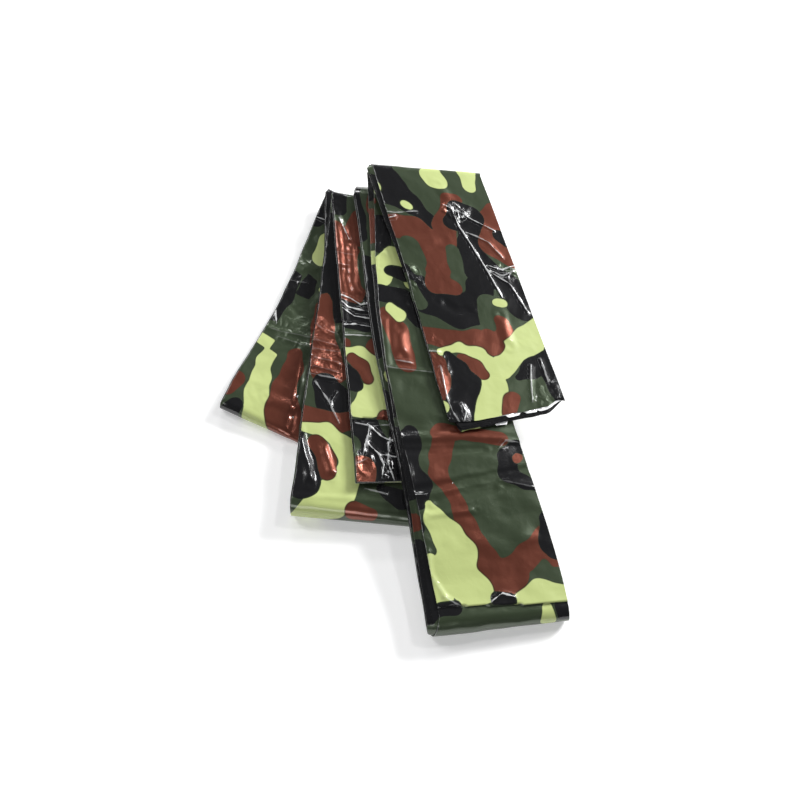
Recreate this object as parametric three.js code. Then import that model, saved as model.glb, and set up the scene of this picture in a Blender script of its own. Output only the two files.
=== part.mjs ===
// Emergency sleeping bag of thin metallised film, folded for storage and fanned out.
// The bag is folded lengthwise into a narrow bundle of plies, and the bundle is then
// folded back and forth into eight runs that lie on each other like a loose fan.
// Millimetres, +Z up. The part lies on Z = 0. +Y points to the upper creases, and +X
// from the closed edge of the bundle to its open ply edges.

import * as THREE from 'three'

// The bundle of plies
const BUNDLE_THICKNESS = 3
const BUNDLE_HALF = BUNDLE_THICKNESS / 2
const EDGE_ROUNDING = 0.7

// How finely the bundle is divided
const STEPS_ACROSS = 8
const RUN_STEP = 19
const TURN_STEPS = 8

// The share of the width over which the slope across the bundle is measured
const SLOPE_SHARE = 0.02

// The mouth end, where the lower plies reach further than the upper ones
const MOUTH_STAGGER = 3.5

// The creases, in order from the mouth end to the foot end. Each row gives the outermost
// line of the crease in plan, from its closed edge (left) to its open edge (right), and
// how far the loop of film reaches out from the runs that it joins, at both edges.
const CREASES = [
  { name: 'mouth', left: [43.5, -36.5], right: [130.5, -15.5], reach: [0, 0] },
  { name: 'front_top', left: [-19.5, 188.5], right: [70.5, 184.5], reach: [4, 3] },
  { name: 'front_bottom', left: [26.5, -189], right: [127.5, -176.5], reach: [9, 7] },
  { name: 'wrap_top', left: [-29.5, 179.5], right: [60.5, 172.5], reach: [13, 11] },
  { name: 'left_bottom', left: [-131.5, -9.5], right: [-53.5, -45.5], reach: [5, 4] },
  { name: 'left_top', left: [-52, 182.5], right: [35.5, 135.5], reach: [3, 2.5] },
  { name: 'middle_bottom', left: [-74.5, -97.5], right: [14.5, -105.5], reach: [8, 6.5] },
  { name: 'middle_top', left: [-48, 173], right: [45.5, 154.5], reach: [3, 2.5] },
  { name: 'foot', left: [-26, -77], right: [57.5, -72], reach: [0, 0] },
]

// The runs between those creases. Heights are of the bundle's middle layer at the start,
// at one third, at two thirds and at the end of the run, for each edge. A bow is how far
// an edge swings sideways, and where along the run it does so most. A ledge is how far
// the upper plies stand back from the lower ones at the closed edge: start, middle, end.
const RUNS = [
  {
    name: 'front',
    left: [34.5, 34.5, 38, 42.5], right: [27.5, 28, 31, 33.5], crown: 0.8,
    leftBow: [3, 0.5], rightBow: [0, 0.5], ledge: [0, 1, 5],
  },
  {
    name: 'long_face',
    left: [35, 32, 32, 20], right: [28.5, 25, 24.5, 15], crown: 0.6,
    leftBow: [-7, 0.36], rightBow: [-15, 0.5], ledge: [5, 1, 9],
  },
  {
    name: 'long_back',
    left: [1.5, 27, 27.3, 30.5], right: [1.5, 19.5, 20.5, 24], crown: 0,
    leftBow: [-4, 0.62], rightBow: [-10, 0.5], ledge: [0, 1, 1],
  },
  {
    name: 'base',
    left: [1.5, 1.5, 1.5, 1.5], right: [1.5, 1.5, 1.5, 1.5], crown: 0,
    leftBow: [0, 0.5], rightBow: [0, 0.5], ledge: [1, 1, 1],
  },
  {
    name: 'left_face',
    left: [12, 7, 6.5, 9], right: [6, 6, 6, 6], crown: 0,
    leftBow: [5, 0.5], rightBow: [0, 0.5], ledge: [1, 1, 1],
  },
  {
    name: 'left_back',
    left: [14.5, 12, 17.5, 1.5], right: [10.5, 9.5, 7, 1.5], crown: 0,
    leftBow: [6, 0.4], rightBow: [0, 0.5], ledge: [1, 1, 1],
  },
  {
    name: 'middle_face',
    left: [20, 22, 17, 20], right: [15, 13, 14, 15.3], crown: 0,
    leftBow: [0, 0.5], rightBow: [0, 0.5], ledge: [1, 1, 1],
  },
  {
    name: 'foot_face',
    left: [26, 22.5, 24.5, 23.5], right: [20.5, 18, 16, 15.5], crown: 0.6,
    leftBow: [0, 0.5], rightBow: [0, 0.5], ledge: [1, 1, 1],
  },
]

/** The plan direction that a crease faces: square to its line, away from the run's other end. */
function outward(crease, away) {
  const across = new THREE.Vector2(crease.right[0] - crease.left[0], crease.right[1] - crease.left[1])
  const facing = new THREE.Vector2(-across.y, across.x).normalize()
  const middle = (end) => new THREE.Vector2((end.left[0] + end.right[0]) / 2, (end.left[1] + end.right[1]) / 2)
  return facing.dot(middle(crease).sub(middle(away))) < 0 ? facing.negate() : facing
}

/** Where a run ends at one edge of a crease: inside the crease line by the loop's reach. */
function runEnd(crease, facing, edge) {
  const inset = crease.reach[edge] + (crease.reach[edge] > 0 ? BUNDLE_HALF : 0)
  const corner = edge === 0 ? crease.left : crease.right
  return new THREE.Vector2(corner[0], corner[1]).addScaledVector(facing, -inset)
}

/** A smooth height through four evenly spaced values, level at both ends. */
function smoothHeight(values, along) {
  const slope = (index) => {
    if (index === 0 || index === values.length - 1) return 0
    const before = values[index] - values[index - 1]
    const after = values[index + 1] - values[index]
    const gentlest = 2 * Math.min(Math.abs(before), Math.abs(after))
    return before * after <= 0 ? 0 : THREE.MathUtils.clamp((before + after) / 2, -gentlest, gentlest)
  }
  const spans = values.length - 1
  const span = Math.min(Math.floor(along * spans), spans - 1)
  const u = along * spans - span
  const fromEnd = 1 - u
  return (
    values[span] * (1 + 2 * u) * fromEnd * fromEnd +
    slope(span) * u * fromEnd * fromEnd +
    values[span + 1] * u * u * (3 - 2 * u) -
    slope(span + 1) * u * u * fromEnd
  )
}

/** A sideways swing that is nothing at both ends and greatest at the stated place. */
function swing([amount, place], along) {
  const power = Math.log(0.5) / Math.log(place)
  return amount * Math.sin(Math.PI * Math.pow(along, power)) ** 2
}

/** A value that changes evenly from the start to the middle and from there to the end. */
function threePoint([start, middle, end], along) {
  return along < 0.5
    ? THREE.MathUtils.lerp(start, middle, along * 2)
    : THREE.MathUtils.lerp(middle, end, along * 2 - 1)
}

/** How far each of the bundle's two sides stands back: only the side that faces up does. */
function ledgesOf(run, index, along) {
  const back = threePoint(run.ledge, along)
  return index % 2 === 0 ? [0, back] : [back, 0]
}

/** The stations along one run, from its first crease to its second. */
function runStations(run, index, from, to) {
  const starts = [0, 1].map((edge) => runEnd(from, outward(from, to), edge))
  const ends = [0, 1].map((edge) => runEnd(to, outward(to, from), edge))
  const length = (starts[0].distanceTo(ends[0]) + starts[1].distanceTo(ends[1])) / 2
  const count = Math.round(length / RUN_STEP)
  const stations = []
  for (let step = 0; step <= count; step++) {
    const along = step / count
    const edgeAt = (edge, heights, bow) => {
      const flat = starts[edge].clone().lerp(ends[edge], along)
      return new THREE.Vector3(flat.x + swing(bow, along), flat.y, smoothHeight(heights, along))
    }
    const left = edgeAt(0, run.left, run.leftBow)
    const right = edgeAt(1, run.right, run.rightBow)
    const crown = run.crown * Math.sin(Math.PI * along)
    stations.push({ left, right, crown, ledges: ledgesOf(run, index, along) })
  }
  return stations
}

/** The stations around a loop, as half an ellipse that stands on the crease's direction. */
function turnStations(crease, facing, before, after) {
  const stations = []
  for (let step = 1; step < TURN_STEPS; step++) {
    const turned = step / TURN_STEPS
    const angle = Math.PI * turned
    const edgeAt = (edge, start, end) => {
      const middle = start.clone().add(end).multiplyScalar(0.5)
      const out = crease.reach[edge] * Math.sin(angle)
      const height = THREE.MathUtils.lerp(end.z, start.z, (1 + Math.cos(angle)) / 2)
      return new THREE.Vector3(middle.x + facing.x * out, middle.y + facing.y * out, height)
    }
    const left = edgeAt(0, before.left, after.left)
    const right = edgeAt(1, before.right, after.right)
    const ledges = [0, 1].map((side) => THREE.MathUtils.lerp(before.ledges[side], after.ledges[side], turned))
    stations.push({ left, right, crown: 0, ledges })
  }
  return stations
}

/**
 * All stations of the bundle, from the mouth end to the foot end. A station holds both edges
 * of the bundle's middle layer, its crown and how far each of its two sides stands back.
 */
function allStations() {
  const runs = RUNS.map((run, index) => runStations(run, index, CREASES[index], CREASES[index + 1]))
  return runs.flatMap((stations, index) => {
    if (index === RUNS.length - 1) return stations
    const crease = CREASES[index + 1]
    const last = stations[stations.length - 1]
    const first = runs[index + 1][0]
    const facing = outward(crease, CREASES[index])
    return [...stations, ...turnStations(crease, facing, last, first)]
  })
}

/** A point of the bundle's middle layer, with the crown across its width. */
function middlePoint(at, across) {
  const point = at.left.clone().lerp(at.right, across)
  point.z += at.crown * Math.sin(Math.PI * THREE.MathUtils.clamp(across, 0, 1))
  return point
}

/** The direction through the plies at one point of the middle layer. */
function throughPlies(stations, index, across) {
  const before = stations[Math.max(index - 1, 0)]
  const after = stations[Math.min(index + 1, stations.length - 1)]
  const along = middlePoint(after, across).sub(middlePoint(before, across))
  const [near, far] = [across - SLOPE_SHARE, across + SLOPE_SHARE]
  const sideways = middlePoint(stations[index], far).sub(middlePoint(stations[index], near))
  return along.cross(sideways).normalize()
}

/** The outline of the bundle at one station, as a closed ring of points. */
function sectionRing(stations, index) {
  const at = stations[index]
  const width = at.left.distanceTo(at.right)
  const ring = []
  const add = (distance, offset) => {
    const across = distance / width
    const inside = THREE.MathUtils.clamp(across, SLOPE_SHARE, 1 - SLOPE_SHARE)
    ring.push(middlePoint(at, across).addScaledVector(throughPlies(stations, index, inside), offset))
  }
  const face = (side, fromLeft) => {
    const start = at.ledges[side] + EDGE_ROUNDING
    const end = width - EDGE_ROUNDING
    for (let step = 0; step <= STEPS_ACROSS; step++) {
      const share = fromLeft ? step / STEPS_ACROSS : 1 - step / STEPS_ACROSS
      add(THREE.MathUtils.lerp(start, end, share), side === 0 ? BUNDLE_HALF : -BUNDLE_HALF)
    }
  }
  face(0, true)
  add(width, 0)
  face(1, false)
  add(at.ledges[1], -BUNDLE_HALF / 2)
  add((at.ledges[0] + at.ledges[1]) / 2, 0)
  add(at.ledges[0], BUNDLE_HALF / 2)
  return ring
}

/** Moves the lower plies of the mouth end outwards, so that the plies end in steps. */
function staggerMouth(rings) {
  const outwardStep = rings[0][0].clone().sub(rings[1][0]).normalize()
  for (let step = 0; step <= STEPS_ACROSS; step++) {
    rings[0][step].addScaledVector(outwardStep, MOUTH_STAGGER)
  }
}

/** The closed surface over a list of rings, with a flat cap on both ends. */
function skinOf(rings) {
  const size = rings[0].length
  const points = rings.flat()
  const faces = []
  for (let row = 0; row < rings.length - 1; row++) {
    for (let step = 0; step < size; step++) {
      const next = (step + 1) % size
      const [a, b, c, d] = [row * size + step, row * size + next, (row + 1) * size + step, (row + 1) * size + next]
      faces.push(a, c, b, b, c, d)
    }
  }
  const capFaces = (offset, turned) => {
    // The ring runs along one face and back along the other, so opposite steps are paired.
    const pair = (step) => 2 * STEPS_ACROSS + 2 - step
    const triangle = (a, b, c) => faces.push(...(turned ? [a, c, b] : [a, b, c]).map((i) => i + offset))
    for (let step = 0; step < STEPS_ACROSS; step++) {
      triangle(step, pair(step), step + 1)
      triangle(step + 1, pair(step), pair(step + 1))
    }
    triangle(STEPS_ACROSS, STEPS_ACROSS + 2, STEPS_ACROSS + 1)
    triangle(0, size - 1, size - 2)
    triangle(0, size - 2, pair(0))
    triangle(size - 2, size - 3, pair(0))
  }
  capFaces(0, true)
  capFaces((rings.length - 1) * size, false)
  const geometry = new THREE.BufferGeometry()
  geometry.setAttribute('position', new THREE.Float32BufferAttribute(points.flatMap((p) => [p.x, p.y, p.z]), 3))
  geometry.setIndex(faces)
  return geometry
}

const stations = allStations()
const rings = stations.map((_, index) => sectionRing(stations, index))
staggerMouth(rings)

const foldedBag = new THREE.Mesh(
  skinOf(rings),
  new THREE.MeshStandardMaterial({ color: '#46523c', roughness: 0.32, metalness: 0.35 }),
)
foldedBag.name = 'folded_bag'
foldedBag.geometry.computeVertexNormals()

const group = new THREE.Group()
group.add(foldedBag)

export default group
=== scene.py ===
"""Looks of an emergency sleeping bag of thin printed film, folded for storage and fanned out.

The bag is folded lengthwise into a narrow bundle of leaves, and the bundle is folded back and forth
into eight runs. Each leaf is laid out flat, divided finer where it shows, and then folded along the
same path as the solid part. Tables are in millimetres, and meshes are in metres.
"""

import logging
import math
from collections.abc import Callable, Sequence
from dataclasses import dataclass, field
from enum import Enum
from functools import cached_property, partial

import bmesh
import bpy
import numpy as np
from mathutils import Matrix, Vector


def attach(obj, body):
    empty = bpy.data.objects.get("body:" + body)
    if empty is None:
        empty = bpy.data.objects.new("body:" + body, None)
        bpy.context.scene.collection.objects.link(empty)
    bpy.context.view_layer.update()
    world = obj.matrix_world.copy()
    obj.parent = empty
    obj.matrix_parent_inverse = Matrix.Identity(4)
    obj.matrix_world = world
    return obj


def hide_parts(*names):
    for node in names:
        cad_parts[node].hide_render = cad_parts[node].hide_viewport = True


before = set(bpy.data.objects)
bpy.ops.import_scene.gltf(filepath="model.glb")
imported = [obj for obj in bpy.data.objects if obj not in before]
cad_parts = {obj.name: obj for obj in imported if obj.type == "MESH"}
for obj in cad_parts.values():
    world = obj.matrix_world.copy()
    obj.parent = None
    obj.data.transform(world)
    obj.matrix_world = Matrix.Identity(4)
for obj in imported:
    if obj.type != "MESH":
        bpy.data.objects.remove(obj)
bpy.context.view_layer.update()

LOG = logging.getLogger("sleeping_bag")
MM = 0.001
BODY = "root"
SOLID = "folded_bag"
FLOOR_NAME = "floor"

Array = np.ndarray
Pair = tuple[float, float]
Triple = tuple[float, float, float]
Four = tuple[float, float, float, float]
Colour = Four
Profile = tuple[Pair, ...]


class Ink(Enum):
    """The four inks of the camouflage print. Green is the ground that the others lie on."""

    GREEN = 0
    BROWN = 1
    BLACK = 2
    LIME = 3


Areas = dict[Ink, Array]


class Side(Enum):
    """The two sides of the bundle. The face is up on odd runs, counted from 0, and the back on even ones."""

    FACE = 1
    BACK = -1


@dataclass(frozen=True)
class Crease:
    """A crease across the bundle: its outermost line in plan and how far its loop reaches out."""

    name: str
    left: Pair
    right: Pair
    reach: Pair


@dataclass(frozen=True)
class Run:
    """A length of the bundle between two creases, with its heights at four even places."""

    name: str
    left: Four
    right: Four
    crown: float = 0.0
    left_bow: Pair = (0.0, 0.5)
    right_bow: Pair = (0.0, 0.5)
    ledge: Triple = (1.0, 1.0, 1.0)


# Name, left and right ends in plan, and how far the loop reaches out at each of them.
CREASES = (
    Crease("mouth", (43.5, -36.5), (130.5, -15.5), (0, 0)),
    Crease("front_top", (-19.5, 188.5), (70.5, 184.5), (4, 3)),
    Crease("front_bottom", (26.5, -189), (127.5, -176.5), (9, 7)),
    Crease("wrap_top", (-29.5, 179.5), (60.5, 172.5), (13, 11)),
    Crease("left_bottom", (-131.5, -9.5), (-53.5, -45.5), (5, 4)),
    Crease("left_top", (-52, 182.5), (35.5, 135.5), (3, 2.5)),
    Crease("middle_bottom", (-74.5, -97.5), (14.5, -105.5), (8, 6.5)),
    Crease("middle_top", (-48, 173), (45.5, 154.5), (3, 2.5)),
    Crease("foot", (-26, -77), (57.5, -72), (0, 0)),
)

# Name, heights at the left and at the right, crown, swing of both edges, how far the ledge stands back.
RUNS = (
    Run("front", (34.5, 34.5, 38, 42.5), (27.5, 28, 31, 33.5), 0.8, (3, 0.5), (0, 0.5), (0, 1, 5)),
    Run("long_face", (35, 32, 32, 20), (28.5, 25, 24.5, 15), 0.6, (-7, 0.36), (-15, 0.5), (5, 1, 9)),
    Run("long_back", (1.5, 27, 27.3, 30.5), (1.5, 19.5, 20.5, 24), 0, (-4, 0.62), (-10, 0.5), (0, 1, 1)),
    Run("base", (1.5, 1.5, 1.5, 1.5), (1.5, 1.5, 1.5, 1.5)),
    Run("left_face", (12, 7, 6.5, 9), (6, 6, 6, 6), 0, (5, 0.5)),
    Run("left_back", (14.5, 12, 17.5, 1.5), (10.5, 9.5, 7, 1.5), 0, (6, 0.4)),
    Run("middle_face", (20, 22, 17, 20), (15, 13, 14, 15.3)),
    Run("foot_face", (26, 22.5, 24.5, 23.5), (20.5, 18, 16, 15.5), 0.6),
)


def lerp(start: Array | float, end: Array | float, share: Array | float) -> Array | float:
    """The value that lies the given share of the way from start to end."""
    return start + (end - start) * share


def ramp(values: Array, low: float, high: float) -> Array:
    """A smooth rise from 0 at low to 1 at high."""
    share = np.clip((values - low) / (high - low), 0.0, 1.0)
    return share * share * (3.0 - 2.0 * share)


@dataclass
class Stations:
    """Places along the bundle: both edges of its middle layer, its crown and its two ledges."""

    left: Array
    right: Array
    crown: Array
    ledges: Array


@dataclass
class FoldPath:
    """The way the bundle is folded, as closely spaced stations along its middle layer."""

    creases: Sequence[Crease]
    runs: Sequence[Run]
    bundle_half: float = 1.5
    run_step: float = 1.5
    turn_steps: int = 32
    spare_end: float = 20.0
    slope_share: float = 0.02
    slope_reach: float = 0.7
    spans: list[Pair] = field(init=False)
    travel: Array = field(init=False)
    stations: Stations = field(init=False)
    width: Array = field(init=False)

    def __post_init__(self) -> None:
        """Joins the runs and the loops between them, and measures the way along them."""
        pieces: list[Stations] = []
        bounds: list[tuple[int, int]] = []
        runs = [self._run_stations(index) for index in range(len(self.runs))]
        count = 0
        for index, stations in enumerate(runs):
            bounds.append((count, count + len(stations.left) - 1))
            pieces.append(stations)
            count += len(stations.left)
            if index + 1 < len(runs):
                loop = self._turn_stations(index + 1, stations, runs[index + 1])
                pieces.append(loop)
                count += len(loop.left)
        joined = [np.concatenate([getattr(p, name) for p in pieces]) for name in Stations.__annotations__]
        self.stations = Stations(*joined)
        middle = (self.stations.left + self.stations.right) / 2
        steps = np.linalg.norm(np.diff(middle, axis=0), axis=1)
        self.travel = np.concatenate([[0.0], np.cumsum(steps)])
        self.spans = [(self.travel[first], self.travel[last]) for first, last in bounds]
        self._add_spare_ends()
        self.width = np.linalg.norm(self.stations.right - self.stations.left, axis=1)

    @staticmethod
    def _outward(crease: Crease, away: Crease) -> Array:
        """The plan direction that a crease faces, away from the run's other end.

        Args:
            crease: The crease whose direction is wanted.
            away: The crease at the run's other end.

        Returns:
            A unit vector in plan, square to the crease line.
        """
        across = np.subtract(crease.right, crease.left)
        facing = np.array([-across[1], across[0]]) / np.linalg.norm(across)
        middles = [np.add(end.left, end.right) / 2 for end in (crease, away)]
        return -facing if facing @ (middles[0] - middles[1]) < 0 else facing

    def _run_end(self, crease: Crease, away: Crease, edge: int) -> Array:
        """Where a run ends at one edge of a crease: inside the crease line by the loop's reach.

        Args:
            crease: The crease at this end of the run.
            away: The crease at the other end.
            edge: 0 for the closed (left) edge, 1 for the open one.

        Returns:
            The plan point.
        """
        reach = crease.reach[edge]
        inset = reach + self.bundle_half if reach > 0 else 0.0
        return np.array((crease.left, crease.right)[edge]) - self._outward(crease, away) * inset

    @staticmethod
    def _smooth_height(values: Sequence[float], along: Array) -> Array:
        """A smooth height through four evenly spaced values, level at both ends.

        Args:
            values: The four heights.
            along: Places along the run, from 0 to 1.

        Returns:
            The height at each place.
        """
        rises = np.diff(values)
        slopes = [0.0, *(0.0 if a * b <= 0 else (a + b) / 2 for a, b in zip(rises, rises[1:])), 0.0]
        for inner in (1, 2):
            gentlest = 2 * min(abs(rises[inner - 1]), abs(rises[inner]))
            slopes[inner] = float(np.clip(slopes[inner], -gentlest, gentlest))
        level, slope = np.array(values, float), np.array(slopes)
        span = np.minimum((along * 3).astype(int), 2)
        u = along * 3 - span
        rest = 1 - u
        start = level[span] * (1 + 2 * u) * rest * rest + slope[span] * u * rest * rest
        return start + level[span + 1] * u * u * (3 - 2 * u) - slope[span + 1] * u * u * rest

    @staticmethod
    def _swing(bow: Pair, along: Array) -> Array:
        """A sideways swing that is nothing at both ends and greatest at the stated place."""
        amount, place = bow
        return amount * np.sin(np.pi * along ** (math.log(0.5) / math.log(place))) ** 2

    def _run_stations(self, index: int) -> Stations:
        """The stations along one run, from its first crease to its second.

        Args:
            index: The run's number.

        Returns:
            Its stations.
        """
        run, start, end = self.runs[index], self.creases[index], self.creases[index + 1]
        starts = [self._run_end(start, end, edge) for edge in (0, 1)]
        ends = [self._run_end(end, start, edge) for edge in (0, 1)]
        length = sum(np.linalg.norm(ends[edge] - starts[edge]) for edge in (0, 1)) / 2
        along = np.linspace(0, 1, round(length / self.run_step) + 1)
        edges = []
        for edge, (heights, bow) in enumerate(((run.left, run.left_bow), (run.right, run.right_bow))):
            plan = starts[edge] + (ends[edge] - starts[edge]) * along[:, None]
            plan[:, 0] += self._swing(bow, along)
            edges.append(np.column_stack([plan, self._smooth_height(heights, along)]))
        back = np.interp(along, (0.0, 0.5, 1.0), run.ledge)
        none = np.zeros_like(back)
        ledges = np.column_stack([none, back] if index % 2 == 0 else [back, none])
        return Stations(edges[0], edges[1], run.crown * np.sin(np.pi * along), ledges)

    def _turn_stations(self, index: int, before: Stations, after: Stations) -> Stations:
        """The stations around a loop, as half an ellipse that stands on the crease's direction.

        Args:
            index: The crease's number.
            before: The stations of the run that ends here.
            after: The stations of the run that starts here.

        Returns:
            The stations strictly between the two runs.
        """
        crease = self.creases[index]
        facing = self._outward(crease, self.creases[index - 1])
        turned = np.arange(1, self.turn_steps) / self.turn_steps
        angle = np.pi * turned
        edges = []
        for reach, start, end in (
            (crease.reach[0], before.left[-1], after.left[0]),
            (crease.reach[1], before.right[-1], after.right[0]),
        ):
            plan = (start[:2] + end[:2]) / 2 + np.outer(reach * np.sin(angle), facing)
            edges.append(np.column_stack([plan, lerp(end[2], start[2], (1 + np.cos(angle)) / 2)]))
        ledges = lerp(before.ledges[-1], after.ledges[0], turned[:, None])
        return Stations(edges[0], edges[1], np.zeros_like(turned), ledges)

    def _add_spare_ends(self) -> None:
        """Continues the path straight on past both ends, for plies that reach further."""
        for name in ("left", "right"):
            line = getattr(self.stations, name)
            first = line[0] + (line[0] - line[1]) * self.spare_end / (self.travel[1] - self.travel[0])
            last = line[-1] + (line[-1] - line[-2]) * self.spare_end / (self.travel[-1] - self.travel[-2])
            setattr(self.stations, name, np.vstack([first, line, last]))
        for name in ("crown", "ledges"):
            line = getattr(self.stations, name)
            setattr(self.stations, name, np.concatenate([line[:1], line, line[-1:]]))
        ends = self.travel[0] - self.spare_end, self.travel[-1] + self.spare_end
        self.travel = np.concatenate([[ends[0]], self.travel, [ends[1]]])

    def _at(self, line: Array, travel: Array) -> Array:
        """Reads a line of stations at the given ways along the path.

        Args:
            line: A number or a point for each station.
            travel: The ways along.

        Returns:
            The number or the point at each of them.
        """
        if line.ndim == 1:
            return np.interp(travel, self.travel, line)
        return np.column_stack([np.interp(travel, self.travel, column) for column in line.T])

    def width_at(self, travel: Array) -> Array:
        """The bundle's width at the given ways along the path."""
        return self._at(self.width, travel)

    def ledge_at(self, travel: Array, side: Side) -> Array:
        """How far one side stands back from the closed edge."""
        column = 0 if side is Side.FACE else 1
        return self._at(self.stations.ledges[:, column], travel)

    def _middle(self, travel: Array, share: Array) -> Array:
        """Points of the middle layer, with the crown across its width.

        Args:
            travel: The way along.
            share: The share of the width, from the closed edge.

        Returns:
            The points, one row each.
        """
        left = self._at(self.stations.left, travel)
        right = self._at(self.stations.right, travel)
        points = left + (right - left) * share[:, None]
        points[:, 2] += self._at(self.stations.crown, travel) * np.sin(np.pi * np.clip(share, 0, 1))
        return points

    def folded(self, travel: Array, across: Array, offset: Array) -> Array:
        """Places points of the flat bundle where the folds take them.

        Args:
            travel: The way along the bundle.
            across: The distance from the closed edge.
            offset: The distance from the middle layer, towards the face side.

        Returns:
            The points, one row each.
        """
        share = across / self.width_at(travel)
        inside = np.clip(share, self.slope_share, 1 - self.slope_share)
        ahead = self._middle(travel + self.slope_reach, inside)
        ahead -= self._middle(travel - self.slope_reach, inside)
        aside = self._middle(travel, inside + self.slope_share)
        aside -= self._middle(travel, inside - self.slope_share)
        normal = np.cross(ahead, aside)
        normal /= np.linalg.norm(normal, axis=1)[:, None]
        return self._middle(travel, share) + normal * offset[:, None]


class Grain:
    """Repeatable noise over a plane, from hashed whole numbers."""

    MIXERS = (127.1, 311.7, 74.7)
    SPREAD = 43758.5453
    SLANTS = (0.6, 1.4)
    MIDDLE = 0.45

    @classmethod
    def hashed(cls, column: Array, row: Array, seed: int) -> Array:
        """A number from 0 to 1 for each pair of whole numbers."""
        mixed = np.sin(column * cls.MIXERS[0] + row * cls.MIXERS[1] + seed * cls.MIXERS[2]) * cls.SPREAD
        return mixed - np.floor(mixed)

    @classmethod
    def smooth(cls, x: Array, y: Array, seed: int) -> Array:
        """Smooth noise from -1 to 1 with features one unit wide.

        Args:
            x: First coordinate.
            y: Second coordinate.
            seed: Picks the pattern.

        Returns:
            The noise at each point.
        """
        column, row = np.floor(x), np.floor(y)
        u, v = x - column, y - row
        u, v = u * u * (3 - 2 * u), v * v * (3 - 2 * v)
        low = lerp(cls.hashed(column, row, seed), cls.hashed(column + 1, row, seed), u)
        high = lerp(cls.hashed(column, row + 1, seed), cls.hashed(column + 1, row + 1, seed), u)
        return 2 * lerp(low, high, v) - 1

    @classmethod
    def sway(cls, along: Array, across: Array, wave: Pair, seed: int) -> Array:
        """Smooth noise whose waves have the stated height and length."""
        return wave[0] * cls.smooth(along / wave[1], across / wave[1], seed)

    @classmethod
    def facets(cls, x: Array, y: Array, seed: int) -> Array:
        """Flat facets between sharp creases, as in crumpled film, about one unit wide.

        Args:
            x: First coordinate.
            y: Second coordinate.
            seed: Picks the pattern.

        Returns:
            The height at each point, about -0.5 to 0.5.
        """
        column, row = np.floor(x), np.floor(y)
        height = np.full(x.shape, np.inf)
        for step_x in (-1, 0, 1):
            for step_y in (-1, 0, 1):
                c, r = column + step_x, row + step_y
                dx = x - c - cls.hashed(c, r, seed)
                dy = y - r - cls.hashed(c, r, seed + 1)
                angle = np.pi * cls.hashed(c, r, seed + 2)
                slant = lerp(*cls.SLANTS, cls.hashed(c, r, seed + 3))
                first = np.abs(dx * np.cos(angle) + dy * np.sin(angle))
                second = np.abs(dy * np.cos(angle) - dx * np.sin(angle))
                height = np.minimum(height, first * slant + second)
        return height - cls.MIDDLE


@dataclass(frozen=True)
class Ridge:
    """A crease that stands up from the film, or sinks in: (along, across) places joined in order."""

    places: tuple[Pair, ...]
    height: float
    width: float
    soft: bool = False
    # How strongly the crease gets the painted highlight line of the finish, which stands for a glint and
    # partly for worn ink.
    worn_glint: float = 0.85

    def measured(self, along: Array, across: Array) -> tuple[Array, Array]:
        """How far points lie from the crease, and on which side of it.

        Args:
            along: Distances along the run.
            across: Distances from the closed edge.

        Returns:
            The distance, and the distance square to the crease with its sign.
        """
        away = np.full(along.shape, np.inf)
        aside = np.zeros(along.shape)
        for (x0, y0), (x1, y1) in zip(self.places, self.places[1:]):
            dx, dy = x1 - x0, y1 - y0
            share = np.clip(((along - x0) * dx + (across - y0) * dy) / (dx * dx + dy * dy), 0, 1)
            here = np.hypot(along - x0 - share * dx, across - y0 - share * dy)
            square = ((along - x0) * dy - (across - y0) * dx) / math.hypot(dx, dy)
            aside = np.where(here < away, square, aside)
            away = np.minimum(away, here)
        return away, aside

    def heights(self, along: Array, across: Array) -> Array:
        """The crease's height over the film: a sharp roof, or a soft wave that fades at its ends.

        Args:
            along: Distances along the run.
            across: Distances from the closed edge.

        Returns:
            The height at each point.
        """
        away, _ = self.measured(along, across)
        near = np.clip(1 - away / self.width, 0, 1)
        if not self.soft:
            return self.height * near
        ends = [np.hypot(along - x, across - y) for x, y in (self.places[0], self.places[-1])]
        return self.height * near * near * (3 - 2 * near) * ramp(np.minimum(*ends), 0, self.width)


@dataclass(frozen=True)
class Crumple:
    """A patch of crumpled film around a place, with facets of the stated size."""

    along: float
    across: float
    reach: Pair
    height: float
    facet: float
    stretch: float = 1.0
    seed: int = 1
    fine: float = 1.0
    rim: Pair = (0.55, 1.1)
    ragged: Pair = (0.25, 6.0)
    bend: Pair = (0.35, 11.0)

    def mask(self, along: Array, across: Array) -> Array:
        """How strongly each point belongs to the patch, from 0 to 1."""
        away = np.hypot((along - self.along) / self.reach[0], (across - self.across) / self.reach[1])
        return 1 - ramp(away + Grain.sway(along, across, self.ragged, self.seed), *self.rim)

    def heights(self, along: Array, across: Array) -> Array:
        """The crumples' height over the film.

        Args:
            along: Distances along the run.
            across: Distances from the closed edge.

        Returns:
            The height at each point.
        """
        bent = Grain.sway(along, across, self.bend, self.seed + 5)
        x, y = along / self.facet + bent, across / (self.facet * self.stretch) - bent
        return self.mask(along, across) * self.height * Grain.facets(x, y, self.seed)


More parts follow.
